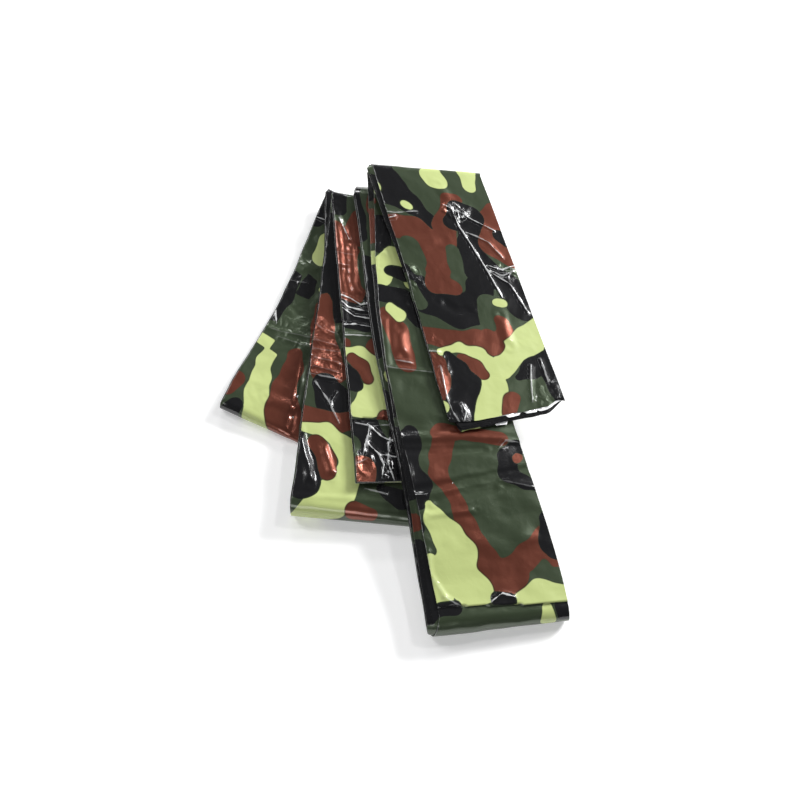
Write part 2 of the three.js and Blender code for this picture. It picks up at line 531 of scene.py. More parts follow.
@dataclass(frozen=True)
class Tuck:
    """A pleat across the run, along a line of (across, along) places.

    The film laps over the line, stands up before it and dips after it.
    """

    line: tuple[Pair, ...]
    lift: float
    dip: float
    lap: float
    lift_reach: float = 14.0
    dip_reach: float = 7.0
    lap_reach: float = 5.0

    def _before(self, along: Array, across: Array) -> Array:
        """How far points lie before the line, negative after it."""
        return np.interp(across, *zip(*self.line)) - along

    def heights(self, along: Array, across: Array) -> Array:
        """The pleat's height over the film.

        Args:
            along: Distances along the run.
            across: Distances from the closed edge.

        Returns:
            The height at each point, below the film after the line.
        """
        before = self._before(along, across)
        up = self.lift * np.exp(-np.maximum(before, 0) / self.lift_reach)
        down = -self.dip * np.exp(-np.maximum(-before, 0) / self.dip_reach)
        return np.where(before > 0, up, down)

    def laps(self, along: Array, across: Array) -> Array:
        """How far the film before the line is pushed over it."""
        before = self._before(along, across)
        return np.where(before > 0, self.lap * np.exp(-np.maximum(before, 0) / self.lap_reach), 0.0)


@dataclass(frozen=True)
class Blob:
    """A patch of ink: discs joined in order, each (along, across, radius), cut off at its two ends."""

    ink: Ink
    discs: tuple[Triple, ...]
    start: float = -math.inf
    end: float = math.inf
    neck: float = 4.5

    def distance(self, along: Array, across: Array) -> Array:
        """The distance outside the patch, negative inside it.

        Args:
            along: Distances along the run.
            across: Distances from the closed edge.

        Returns:
            The distance at each point.
        """
        nearest = None
        rests = self.discs[1:] or self.discs
        for (x0, y0, r0), (x1, y1, r1) in zip(self.discs, rests):
            dx, dy = x1 - x0, y1 - y0
            length = max(dx * dx + dy * dy, 1e-6)
            share = np.clip(((along - x0) * dx + (across - y0) * dy) / length, 0, 1)
            away = np.hypot(along - x0 - share * dx, across - y0 - share * dy) - lerp(r0, r1, share)
            if nearest is None:
                nearest = away
                continue
            blend = np.clip(0.5 + 0.5 * (away - nearest) / self.neck, 0, 1)
            nearest = lerp(away, nearest, blend) - self.neck * blend * (1 - blend)
        return np.maximum(nearest, np.maximum(self.start - along, along - self.end))


@dataclass(frozen=True)
class RunSurface:
    """What one visible face of a run carries, and how far across it shows, place by place."""

    print: tuple[Blob, ...]
    relief: tuple[Ridge | Crumple | Tuck, ...] = ()
    waves: float = 0.3
    facets: float = 0.0
    cover: tuple[Pair, ...] = ((0, 110),)
    cover_edge: Pair = (4.0, 5.0)
    long_wave: Pair = (26.0, 30.0)
    short_wave: Pair = (9.0, 11.0)
    short_share: float = 0.4
    facet: Pair = (15.0, 17.0)
    texture_seeds: tuple[int, int, int] = (3, 4, 5)

    def shows(self, along: Array, across: Array) -> Array:
        """How far each point shows, falling from 1 to 0 where the run above covers it."""
        limit = np.interp(along, *zip(*self.cover))
        return 1 - ramp(across, limit - self.cover_edge[0], limit + self.cover_edge[1])

    def texture(self, along: Array, across: Array) -> Array:
        """The slight waves and the flat facets that the whole run has.

        Args:
            along: Distances along the run.
            across: Distances from the closed edge.

        Returns:
            The height at each point.
        """
        seeds = self.texture_seeds
        long = Grain.smooth(along / self.long_wave[0], across / self.long_wave[1], seeds[0])
        short = Grain.smooth(along / self.short_wave[0], across / self.short_wave[1], seeds[1])
        flats = Grain.facets(along / self.facet[0], across / self.facet[1], seeds[2])
        return self.waves * (long + self.short_share * short) + self.facets * flats


def patch(ink: Ink, *discs: Triple, start: float = -math.inf, end: float = math.inf) -> Blob:
    """A patch of one ink, for the charts."""
    return Blob(ink, discs, start, end)


def sharp(height: float, width: float, *places: Pair, worn_glint: float = 0.85) -> Ridge:
    """A sharp crease, for the charts."""
    return Ridge(places, height, width, worn_glint=worn_glint)


def soft(height: float, width: float, *places: Pair) -> Ridge:
    """A soft ridge, or a soft trough where its height is below zero, for the charts."""
    return Ridge(places, height, width, soft=True)


green, brown, black, lime = (partial(patch, ink) for ink in Ink)

# Charts of the faces that show. Each disc is (along, across, radius), and each place is (along, across).
FRONT = RunSurface(
    print=(
        black((215, 8, 11), (198, 12, 15), (185, 24, 10), (172, 33, 5), (154, 38, 2)),
        lime((213, 50, 9), (208, 52, 9)),
        lime((224, 68, 3), (218, 80, 6), (203, 78, 5)),
        lime((225, 90, 5)),
        lime((200, 0, 6)),
        lime((184, 20, 4)),
        black((125, 0, 6), (102, 14, 14), (90, 32, 16), (88, 50, 12), (110, 55, 11)),
        black((165, 60, 6), (145, 57, 9), (125, 60, 12), (112, 76, 9), (88, 82, 12)),
        brown((165, 0, 12), (162, 20, 10), (150, 30, 11), (130, 29, 9), (114, 22, 8), (110, 34, 7),
              end=175),
        brown((150, 42, 7), (165, 43, 8), (188, 56, 6), (190, 62, 5)),
        brown((180, 92, 9), (165, 79, 11), (148, 77, 11), (136, 87, 10)),
        black((168, 52, 8), (178, 60, 9), (174, 69, 9), (160, 62, 6)),
        black((156, 86, 6), (148, 90, 4)),
        green((148, 12, 8), (136, 12, 9), (126, 10, 5)),
        green((144, 44, 5), (124, 42, 5)),
        green((92, 58, 10), (74, 54, 9)),
        green((118, 92, 6)),
        green((112, 2, 4), (98, 5, 5)),
        lime((93, 66, 4), (92, 68, 4)),
        brown((72, 0, 7), (66, 20, 7), (62, 40, 9), (58, 60, 9), (76, 62, 5)),
        brown((46, 0, 12), (28, 4, 9)),
        lime((58, 8, 3), (62, 25, 3), (53, 37, 5), (38, 44, 8), (22, 40, 10), (8, 32, 12), (-6, 31, 15)),
        lime((35, 50, 8), (50, 62, 10), (58, 76, 11), (74, 92, 7)),
        brown((66, 48, 6), (55, 50, 7)),
        brown((52, 24, 5), (44, 30, 6), (34, 35, 5)),
        black((55, 14, 4), (44, 18, 6), (28, 22, 9), (14, 14, 10), (-2, 8, 10)),
        lime((15, 0, 5)),
        black((28, 62, 3), (34, 74, 8), (42, 88, 9)),
        black((28, 88, 9), (12, 90, 8), (0, 92, 10)),
        brown((10, 50, 7), (0, 46, 6)),
    ),
    relief=(
        Crumple(180, 60, (9, 12), 1.6, 6, seed=3),
        Crumple(120, 5, (14, 7), 0.8, 6, seed=5),
        Crumple(8, 8, (12, 10), 0.5, 7, 2.0, seed=7),
        Crumple(10, 80, (16, 14), 0.5, 10, seed=11, fine=0.5),
        Crumple(50, 5, (24, 8), 0.6, 8, 1.6, seed=13, fine=0.5),
        Crumple(122, 78, (10, 12), 0.8, 9, seed=15),
        sharp(0.45, 2.2, (184, 56), (165, 56), (152, 59), (124, 64), (100, 68), worn_glint=0.9),
        sharp(0.6, 2.6, (180, 60), (172, 68), (162, 82), worn_glint=0.9),
        sharp(0.6, 2.4, (184, 52), (178, 60), (170, 58)),
        sharp(0.6, 2.4, (186, 60), (178, 66), (174, 62)),
        sharp(0.5, 2.4, (160, 58), (156, 66), (150, 74), (136, 80), worn_glint=0.5),
        sharp(0.4, 2.2, (124, 64), (110, 78), (84, 84), worn_glint=0.8),
        sharp(0.6, 2.4, (128, 66), (124, 76), (127, 86)),
        sharp(0.5, 2.2, (124, 66), (118, 74), (122, 84), worn_glint=0.6),
        sharp(0.6, 2.6, (177, -2), (176, 10), (178, 26), worn_glint=0.4),
        sharp(0.5, 2.4, (170, -2), (173, 8)),
        soft(0.7, 7.0, (205, 52), (186, 58)),
        soft(1.1, 7.0, (84, 62), (55, 62)),
        soft(-0.8, 6.0, (100, 20), (90, 30), (90, 44)),
        soft(0.7, 9.0, (150, 5), (152, 40)),
        sharp(0.5, 2.4, (60, -2), (58, 8), worn_glint=0.5),
        sharp(0.5, 2.4, (45, 6), (20, 4), worn_glint=0.6),
        sharp(0.4, 2.2, (20, 4), (10, 5), (3, 7), worn_glint=0.4),
        sharp(0.5, 2.2, (14, 14), (8, 15), (3, 12), worn_glint=0.6),
        sharp(0.6, 2.6, (36, 73), (26, 70), (8, 66), worn_glint=0.5),
        sharp(0.5, 2.6, (40, 82), (22, 82), worn_glint=0.5),
    ),
    waves=0.45,
    facets=0.2,
)

LONG_FACE = RunSurface(
    print=(
        black((0, 5, 10)),
        lime((15, 10, 5)),
        brown((25, 5, 3)),
        black((45, 10, 8), (62, 8, 9)),
        lime((72, 15, 6), (80, 10, 8), (92, 6, 8)),
        lime((80, 25, 7), (95, 30, 7)),
        black((85, 14, 5), (90, 25, 5)),
        black((105, 5, 7), (110, 20, 8), (130, 35, 8)),
        brown((122, 5, 6), (140, 14, 9), (165, 16, 8), end=173),
        lime((118, 10, 4), (127, 19, 5)),
        black((222, 10, 5), (232, 6, 9), (250, 2, 8), (262, 8, 9), (274, 3, 9)),
        brown((222, 32, 8), (224, 52, 6), (228, 75, 6)),
        brown((225, 34, 8), (242, 28, 7), (256, 24, 6), (268, 31, 5), (282, 36, 6)),
        brown((282, 35, 6), (294, 38, 7), (308, 42, 8), (322, 48, 9), (338, 56, 13), (350, 58, 11),
              (336, 62, 13), (320, 80, 9), (306, 96, 9), (326, 104, 8), end=354),
        black((235, 86, 6), (244, 79, 8), (256, 77, 8), (264, 88, 5), (270, 98, 4)),
        brown((245, 86, 4)),
        lime((278, 12, 3), (290, 16, 8), (302, 24, 12), (314, 30, 12), (326, 22, 14), (344, 36, 15),
              end=353),
        lime((318, 8, 5), (328, 12, 10), (350, 10, 8), end=353),
        black((295, 0, 7)),
        black((294, 97, 7), (308, 99, 9), (318, 101, 6)),
        green((336, 82, 4), (337, 96, 6), (336, 104, 7)),
        lime((355, 73, 9), (349, 84, 9), (355, 104, 12), end=356),
        black((351, 52, 5), (352, 62, 5), end=355),
        lime((360, 86, 4), (368, 88, 6), start=355),
        black((358, 98, 6), (362, 100, 6), start=355),
        black((353, 8, 4), (352, 20, 4)),
        black((356, 6, 5), (355, 20, 5), start=354),
        black((365, 0, 7), start=355),
    ),
    relief=(
        Tuck(((0, 352), (25, 352), (50, 354), (100, 356)), 1.0, 0.4, 1.6),
        sharp(0.9, 3.4, (168, -2), (170, 10), (173, 35), worn_glint=0.2),
        sharp(0.5, 2.6, (163, 10), (165, 20), worn_glint=0.4),
        soft(1.4, 8.0, (135, 15), (160, 15)),
        soft(0.8, 5.0, (125, 5), (170, 2)),
        soft(-0.5, 10.0, (180, 5), (190, 30)),
        soft(0.5, 9.0, (205, 0), (210, 50)),
        soft(1.6, 6.0, (226, -2), (226, 50), (230, 95)),
        soft(-0.9, 5.0, (237, 0), (237, 66)),
        soft(-1.2, 5.0, (268, -5), (262, 40), (254, 95)),
        sharp(0.6, 3.0, (236, 74), (231, 79), (232, 86), worn_glint=0.4),
        sharp(0.7, 3.0, (262, 70), (268, 92), worn_glint=0.1),
        soft(-1.0, 7.0, (278, 15), (270, 40), (266, 68)),
        soft(0.9, 4.0, (286, 10), (284, 48)),
        soft(0.6, 12.0, (304, 30), (312, 60), (300, 90)),
        sharp(0.8, 2.6, (270, -2), (270, 12), worn_glint=0.4),
        sharp(0.8, 3.0, (312, 8), (328, 7), (345, 15), worn_glint=0.1),
        sharp(0.7, 3.0, (345, 15), (352, 25), worn_glint=0.3),
        sharp(0.7, 2.2, (350, 49), (346, 56), (349, 64), worn_glint=1.0),
        Crumple(60, 5, (40, 8), 0.5, 9, seed=21, fine=0.3),
        Crumple(250, 2, (45, 6), 0.35, 10, 0.6, seed=23, fine=0.2),
        Crumple(290, 5, (26, 8), 0.4, 10, seed=25, fine=0.3),
        Crumple(110, 20, (10, 12), 0.6, 9, seed=27, fine=0.4),
    ),
    waves=0.7,
    facets=0.1,
    cover=((-12, 8), (190, 40), (205, 110)),
)

FOOT_FACE = RunSurface(
    print=(
        black((0, 4, 10), (10, 5, 8)),
        brown((18, 24, 9), (32, 20, 11)),
        brown((32, 4, 9), (50, 7, 11), (68, 8, 10), (82, 9, 10)),
        green((54, 26, 9), (74, 24, 7)),
        black((62, 32, 6), (78, 28, 7), (88, 24, 7)),
        black((100, 0, 11), (105, 20, 12)),
        brown((125, 0, 5)),
        brown((130, 25, 7)),
        lime((132, 0, 4), (136, 12, 7), (150, 22, 11), (168, 22, 14), (180, 8, 8), end=185),
        brown((138, 5, 5), (146, 12, 6), (155, 16, 5)),
        black((148, -2, 6), (156, 2, 8), (160, 6, 6)),
        brown((185, 25, 6), end=187),
        black((195, 10, 13), (230, 25, 16), start=187),
        black((200, 45, 16), (235, 50, 16), start=187),
        green((206, 0, 7)),
        brown((225, 6, 9), (240, 5, 8)),
    ),
    relief=(
        Tuck(((0, 187), (20, 185), (60, 184)), 0.9, 0.4, 1.4),
        Crumple(220, 5, (14, 10), 1.3, 8, seed=35),
        Crumple(228, 25, (7, 6), 1.1, 7, seed=39),
        Crumple(48, 8, (40, 10), 0.5, 14, 0.6, seed=37, fine=0.2),
        sharp(0.9, 3.4, (22, 6), (30, 9), (36, 11), worn_glint=1.0),
        soft(1.3, 6.0, (40, 12), (55, 13), (75, 11), (86, 16)),
        sharp(0.7, 3.0, (86, -1), (88, 8), (93, 16), (90, 24), worn_glint=1.0),
        sharp(0.7, 2.8, (90, -1), (96, 6), (98, 22), worn_glint=1.0),
        sharp(0.6, 2.6, (96, -1), (103, 10), (104, 25), worn_glint=0.9),
        sharp(0.6, 2.4, (112, -1), (110, 10), (111, 24), worn_glint=0.8),
        sharp(0.5, 2.4, (120, 0), (119, 20), worn_glint=0.6),
        sharp(0.6, 3.4, (50, -1), (51, 12), worn_glint=0.1),
        sharp(0.6, 3.4, (60, -1), (60, 8), worn_glint=0.1),
        sharp(0.6, 2.4, (190, 5), (192, 15), (190, 35), worn_glint=0.5),
        sharp(0.7, 2.6, (192, 14), (200, 22), (206, 34), worn_glint=1.0),
        sharp(0.6, 2.4, (192, 14), (200, 12), (212, 8), worn_glint=0.8),
        sharp(0.7, 2.6, (206, 12), (214, 19), (216, 32), worn_glint=0.9),
        sharp(0.6, 2.4, (212, 18), (222, 22), (230, 20)),
        sharp(0.8, 3.0, (196, 38), (205, 27), (220, 25), (232, 28), worn_glint=1.0),
        sharp(0.6, 2.6, (222, -1), (218, 8), worn_glint=0.2),
        soft(1.0, 5.0, (10, 4), (60, 3), (110, 2)),
        soft(0.6, 8.0, (150, 8), (166, 30)),
    ),
    waves=0.6,
    facets=0.35,
    cover=((-12, 22), (110, 30), (240, 44)),
)

MIDDLE_FACE = RunSurface(
    print=(
        # Partly print and partly painted shade: the black at the top, in the gap between the left and foot
        # runs.
        black((170, 10, 25), (220, 15, 25)),
        brown((165, 5, 6), (140, 8, 8), (118, 12, 13), (104, 16, 14)),
        black((92, 14, 9), (78, 22, 12), (74, 32, 9)),
        brown((65, 0, 7), (62, 20, 8), (65, 36, 7)),
        lime((55, 0, 4), (57, 22, 6), (46, 34, 8), (28, 42, 9), (5, 32, 14), (-15, 10, 9)),
        brown((45, 14, 7), (34, 21, 7), (22, 25, 6)),
        black((45, -2, 7), (28, 6, 9), (12, 10, 12)),
        brown((-5, 47, 7), (-6, 60, 5)),
        black((14, 66, 5), (8, 80, 9)),
    ),
    relief=(
        Crumple(120, 12, (26, 18), 1.1, 7, 3.0, seed=41),
        sharp(0.7, 2.8, (120, -1), (121, 20), worn_glint=0.1),
        sharp(0.7, 2.8, (113, -1), (112, 22), worn_glint=0.1),
        sharp(0.7, 2.8, (106, 0), (104, 22), worn_glint=0.1),
        sharp(0.7, 2.8, (128, 0), (126, 18), worn_glint=0.1),
        sharp(0.7, 2.8, (140, 2), (136, 18), worn_glint=0.1),
        sharp(0.7, 2.8, (99, 0), (98, 24), worn_glint=0.3),
        sharp(0.5, 2.4, (92, 8), (80, 18), (64, 28), worn_glint=0.5),
        sharp(0.5, 2.4, (86, 24), (76, 20), worn_glint=0.4),
        soft(1.5, 6.0, (52, 0), (36, 5), (28, 9), (12, 13)),
        soft(1.2, 5.0, (46, 18), (20, 29)),
        soft(0.6, 4.0, (2, 0), (5, 40), (6, 90)),
        sharp(0.8, 4.0, (14, 55), (12, 68), worn_glint=0.4),
    ),
    waves=0.6,
    facets=0.4,
    cover=((-20, 110), (14, 110), (26, 42), (254, 20)),
)

LEFT_FACE = RunSurface(
    print=(
        black((195, 10, 16), (172, 0, 8)),
        lime((167, 19, 4), (157, 17, 6), (143, 17, 8)),
        lime((118, 30, 3)),
        black((130, 19, 5), (114, 17, 6), (98, 14, 6), start=104, end=124),
        black((130, 0, 8), (98, 2, 7), (70, 0, 7), start=74, end=119),
        brown((102, 34, 6), (86, 38, 8), (74, 46, 8)),
        lime((66, 6, 8), (46, 5, 7), start=52, end=62),
        lime((60, 15, 6), (42, 14, 5), (28, 19, 6), (14, 22, 8), (-5, 32, 12), end=53),
        brown((18, 4, 7), (10, 2, 6)),
        black((-2, 12, 6), (-8, 10, 8)),
        brown((58, 34, 6), (46, 37, 8), (28, 38, 9), (10, 46, 13), (-8, 55, 12)),
    ),
    relief=(
        Crumple(165, 10, (30, 16), 1.0, 14, 1.6, seed=51, fine=0.2),
        Crumple(115, 15, (24, 20), 0.9, 16, seed=53, fine=0.2),
        Crumple(75, 30, (16, 28), 0.9, 9, 2.5, seed=55, fine=0.5),
        sharp(0.6, 2.6, (172, 0), (174, 14), worn_glint=0.8),
        soft(0.8, 5.0, (134, 0), (130, 20)),
        soft(-0.8, 6.0, (98, 0), (90, 20), (92, 40)),
        sharp(0.6, 3.0, (112, 0), (116, 14), worn_glint=0.1),
        sharp(0.7, 2.8, (84, 1), (76, 6), worn_glint=1.0),
        sharp(0.8, 3.4, (68, 0), (70, 15), (76, 38), worn_glint=0.1),
        sharp(0.8, 3.4, (65, 14), (68, 38), (75, 60), worn_glint=0.1),
        soft(1.3, 7.0, (15, 30), (17, 60)),
        soft(-0.8, 4.0, (55, 42), (20, 53), (-12, 62)),
    ),
    waves=0.6,
    facets=0.8,
    cover=((-16, 64), (60, 52), (194, 16)),
)

# The repeat of the hidden runs and of the walls inside the bundle. Its black stripes along the closed edge
# are painted shade of the gaps between runs.
REPEAT_LENGTH = 230.0
REPEAT = (
    brown((20, 20, 11), (50, 30, 13), (80, 20, 10), (95, 45, 12)),
    brown((130, 75, 13), (165, 60, 10), (190, 80, 12)),
    black((40, 70, 10), (70, 75, 13), (100, 75, 8)),
    black((140, 15, 12), (170, 25, 9), (200, 10, 8)),
    black((210, 45, 8), (225, 55, 9)),
    lime((5, 50, 8), (30, 45, 6), (45, 55, 5)),
    lime((110, 10, 7), (120, 30, 8), (115, 45, 5)),
    lime((180, 45, 8), (205, 35, 6)),
    lime((75, 50, 5)),
    # Painted shade: black along the closed edge, where the gaps between runs are dark.
    black((0, 0, 7), (95, 0, 6)),
    black((130, 0, 7), (205, 0, 7)),
)

# The deeper walls: those that show along the closed edge of the long run, mostly black as painted shade of
# the gap there, with some print, and those at the mouth.
LEDGE_PRINT_AND_SHADE = (
    black((0, 5, 9), (20, 0, 6)),
    brown((40, 0, 8), (55, 0, 8)),
    lime((75, 0, 6)),
    black((90, 0, 9), (200, 0, 9)),
    black((225, 0, 9), (265, 0, 9)),
    brown((290, 0, 7)),
    black((310, 0, 8), (355, 0, 9)),
)

MOUTH = (black((-8, 0, 22), (-8, 90, 22)),)
LOWEST_MOUTH = (*MOUTH, lime((-9, 12, 6), (-9, 17, 6)))

# How far the cut edges reach out at the mouth, as (across, reach): each leaf's outer wall, then its inner.
FACE_MOUTH = (
    ((0, -6), (6, -4), (8, 4), (33, 4), (34, 6), (42, 6), (43, 4), (58, 4), (60, 5), (68, 5),
     (74, 3), (90, -9)),
    ((0, -6), (4, -4), (6, 5), (33, 5.5), (35, 4), (42, 4), (44, 5), (60, 4.5), (74, 4), (90, -8)),
)
BACK_MOUTH = (
    ((0, -2.2), (8, -1.4), (22, 0), (76, 0.2), (83, -4), (85, -4), (90, -2)),
    ((0, -2.6), (8, -2), (22, -0.2), (43, 0.2), (44, 2.4), (53, 2.2), (54, 0.6), (57, 0.6), (58, 2),
     (66, 2), (67, 0.6), (69, 2.2), (75, 2), (84, -2.5), (90, -4)),
)
INNER_MOUTH = (
    ((0, -6), (4, -4), (6, 1), (50, 1.5), (74, 1.5), (90, -7)),
    ((0, -6), (4, -4), (6, 2), (74, 2.4), (90, -6)),
)

# The runs that show, on each side of the bundle.
SHOWN = {
    Side.BACK: {0: FRONT, 4: LEFT_FACE, 6: MIDDLE_FACE},
    Side.FACE: {1: LONG_FACE, 7: FOOT_FACE},
}


@dataclass(frozen=True)
class RunPoints:
    """The points of one side that lie on a run that shows, or on the loops at its ends.

    They are picked by here out of all the points, and room is the way from each to the end.
    """

    surface: RunSurface
    here: Array
    along: Array
    across: Array
    room: Array


@dataclass(frozen=True)
class Dressing:
    """The print and the creases of both outer sides of the bundle, run by run."""

    path: FoldPath
    shown: dict[Side, dict[int, RunSurface]]
    wobble: Pair = (1.4, 12.0)
    wander: Pair = (2.2, 29.0)
    sway_seeds: tuple[int, int] = (61, 67)
    start_fade: Pair = (-12.0, 2.0)
    end_fade: Pair = (0.0, 10.0)
    lift_limits: Pair = (-0.9, 1.8)
    crease_reach: float = 3.0
    ledge_run: int = 1
    ledge_margins: Pair = (8.0, 20.0)
    mouth_end: float = 12.0
    far: float = 40.0

    def _runs(self, side: Side, travel: Array, across: Array) -> list[RunPoints]:
        """Sorts the points of one side by the runs that show. Such a run covers its loops too.

        Args:
            side: The side of the bundle.
            travel: The way along.
            across: The distance from the closed edge.

        Returns:
            The points of each run that has any.
        """
        spans, found = self.path.spans, []
        for index, surface in self.shown[side].items():
            low = spans[index - 1][1] if index else -math.inf
            high = spans[index + 1][0] if index + 1 < len(spans) else math.inf
            here = (travel >= low) & (travel < high)
            if here.any():
                along = travel[here] - spans[index][0]
                found.append(RunPoints(surface, here, along, across[here], high - spans[index][0] - along))
        return found

    def relief(self, side: Side, travel: Array, across: Array) -> tuple[Array, Array]:
        """How far the creases move the film of one side.

        Args:
            side: The side of the bundle.
            travel: The way along.
            across: The distance from the closed edge.

        Returns:
            The lift off the side and the push along it at each point, in millimetres.
        """
        lift, push = np.zeros_like(travel), np.zeros_like(travel)
        for run in self._runs(side, travel, across):
            height = run.surface.texture(run.along, run.across)
            for fold in run.surface.relief:
                height = height + fold.heights(run.along, run.across)
                if isinstance(fold, Tuck):
                    push[run.here] += fold.laps(run.along, run.across)
            fade = ramp(run.along, *self.start_fade) * ramp(run.room, *self.end_fade)
            lift[run.here] = height * fade * run.surface.shows(run.along, run.across)
        return np.clip(lift, *self.lift_limits), push

    def creases(self, side: Side, travel: Array, across: Array) -> tuple[Array, Array]:
        """Where the sharpest creases run, for the painted highlight lines of the film's finish, which stand
        for glints and partly for worn ink.

        Args:
            side: The side of the bundle.
            travel: The way along.
            across: The distance from the closed edge.

        Returns:
            How near the nearest crease is, from 0 to the strength of its painted line, and the signed
            distance from it.
        """
        reach = self.crease_reach
        near, aside = np.zeros_like(travel), np.full_like(travel, reach)
        for run in self._runs(side, travel, across):
            for fold in run.surface.relief:
                if not isinstance(fold, Ridge) or fold.soft:
                    continue
                away, square = fold.measured(run.along, run.across)
                closeness = fold.worn_glint * np.clip(1 - away / reach, 0, 1)
                closer = closeness > near[run.here]
                near[run.here] = np.where(closer, closeness, near[run.here])
                aside[run.here] = np.where(closer, square, aside[run.here])
        return near, np.clip(aside, -reach, reach)

    def crumple(self, side: Side, travel: Array, across: Array) -> Array:
        """How crumpled the film is, for the finest creases of its finish.

        Args:
            side: The side of the bundle.
            travel: The way along.
            across: The distance from the closed edge.

        Returns:
            The amount at each point, from 0 to 1.
        """
        amount = np.zeros_like(travel)
        for run in self._runs(side, travel, across):
            for fold in run.surface.relief:
                if isinstance(fold, Crumple):
                    mask = fold.fine * fold.mask(run.along, run.across)
                    amount[run.here] = np.maximum(amount[run.here], mask)
        return amount

    def paint(self, blobs: Sequence[Blob], along: Array, across: Array, repeat: float = 0.0) -> Areas:
        """Lays patches of ink over a green ground, in order.

        Args:
            blobs: The patches.
            along: Distances along the run.
            across: Distances from the closed edge.
            repeat: The length after which the patches repeat, or 0.

        Returns:
            For each ink, the distance outside it, negative where it shows.
        """
        areas = {ink: np.full(along.shape, -self.far if ink is Ink.GREEN else self.far) for ink in Ink}
        for blob in blobs:
            away = blob.distance(along, across)
            for turn in (-repeat, repeat) if repeat else ():
                away = np.minimum(away, blob.distance(along + turn, across))
            for ink in Ink:
                cover = np.minimum if ink is blob.ink else np.maximum
                areas[ink] = cover(areas[ink], away if ink is blob.ink else -away)
        return areas

    def print(self, side: Side, travel: Array, across: Array) -> Areas:
        """The print of one outer side, with the painted shade that the charts and the repeat carry.

        Args:
            side: The side of the bundle.
            travel: The way along.
            across: The distance from the closed edge.

        Returns:
            For each ink, the distance outside it, negative where it shows.
        """
        areas = self.inner_print_and_shade(travel, across)
        for run in self._runs(side, travel, across):
            for ink, away in self.paint(run.surface.print, *self._swayed(run.along, run.across)).items():
                areas[ink][run.here] = away
        return areas

    def inner_print_and_shade(self, travel: Array, across: Array) -> Areas:
        """The print of the film that lies inside the bundle or beneath it, with black along its closed edge
        as painted shade.
        """
        along, place = self._swayed(travel, across)
        return self.paint(REPEAT, along % REPEAT_LENGTH, place, REPEAT_LENGTH)

    def ledge_print_and_shade(self, travel: Array, across: Array, mouth: Sequence[Blob]) -> Areas:
        """The print of the deeper walls, which show along the long face's closed edge and at the mouth, with
        the painted shade along that closed edge.

        Args:
            travel: The way along.
            across: The distance from the closed edge.
            mouth: The patches at the mouth.

        Returns:
            For each ink, the distance outside it, negative where it shows.
        """
        areas = self.inner_print_and_shade(travel, across)
        start, end = self.path.spans[self.ledge_run]
        before, after = self.ledge_margins
        stretches = ((LEDGE_PRINT_AND_SHADE, start, start - before, end + after), (mouth, 0.0, -math.inf, self.mouth_end))
        for blobs, first, low, high in stretches:
            here = (travel >= low) & (travel <= high)
            for ink, away in self.paint(blobs, travel[here] - first, across[here]).items():
                areas[ink][here] = away
        return areas

    def _swayed(self, along: Array, across: Array) -> tuple[Array, Array]:
        """Shifts places a little, so that no edge of the print is a plain arc.

        Args:
            along: Distances along the run.
            across: Distances from the closed edge.

        Returns:
            Both, shifted.
        """
        shifts = [
            Grain.sway(along, across, self.wobble, seed) + Grain.sway(along, across, self.wander, seed + 3)
            for seed in self.sway_seeds
        ]
        return along + shifts[0], across + shifts[1]


@dataclass(frozen=True)
class Window:
    """A part of a leaf that shows, in millimetres along its run and across it."""

    run: int
    along: Pair
    across: Pair

    def box(self, spans: Sequence[Pair]) -> Four:
        """The window's lowest and highest flat places, along and then across."""
        start = spans[self.run][0]
        return start + self.along[0], start + self.along[1], *self.across


FACE_WINDOWS = (
    Window(0, (-2, 14), (-92, 92)),
    Window(1, (-12, 210), (-1, 52)),
    Window(1, (200, 386), (-1, 92)),
    Window(7, (-10, 236), (-1, 44)),
)
BACK_WINDOWS = (
    Window(0, (-2, 232), (-1, 92)),
    Window(0, (-2, 14), (-92, 0)),
    Window(4, (-16, 64), (-1, 64)),
    Window(4, (60, 128), (-1, 52)),
    Window(4, (124, 196), (-1, 36)),
    Window(6, (-20, 34), (-1, 92)),
    Window(6, (30, 140), (-1, 44)),
)
INNER_WINDOWS = (Window(0, (-2, 12), (-92, 92)),)


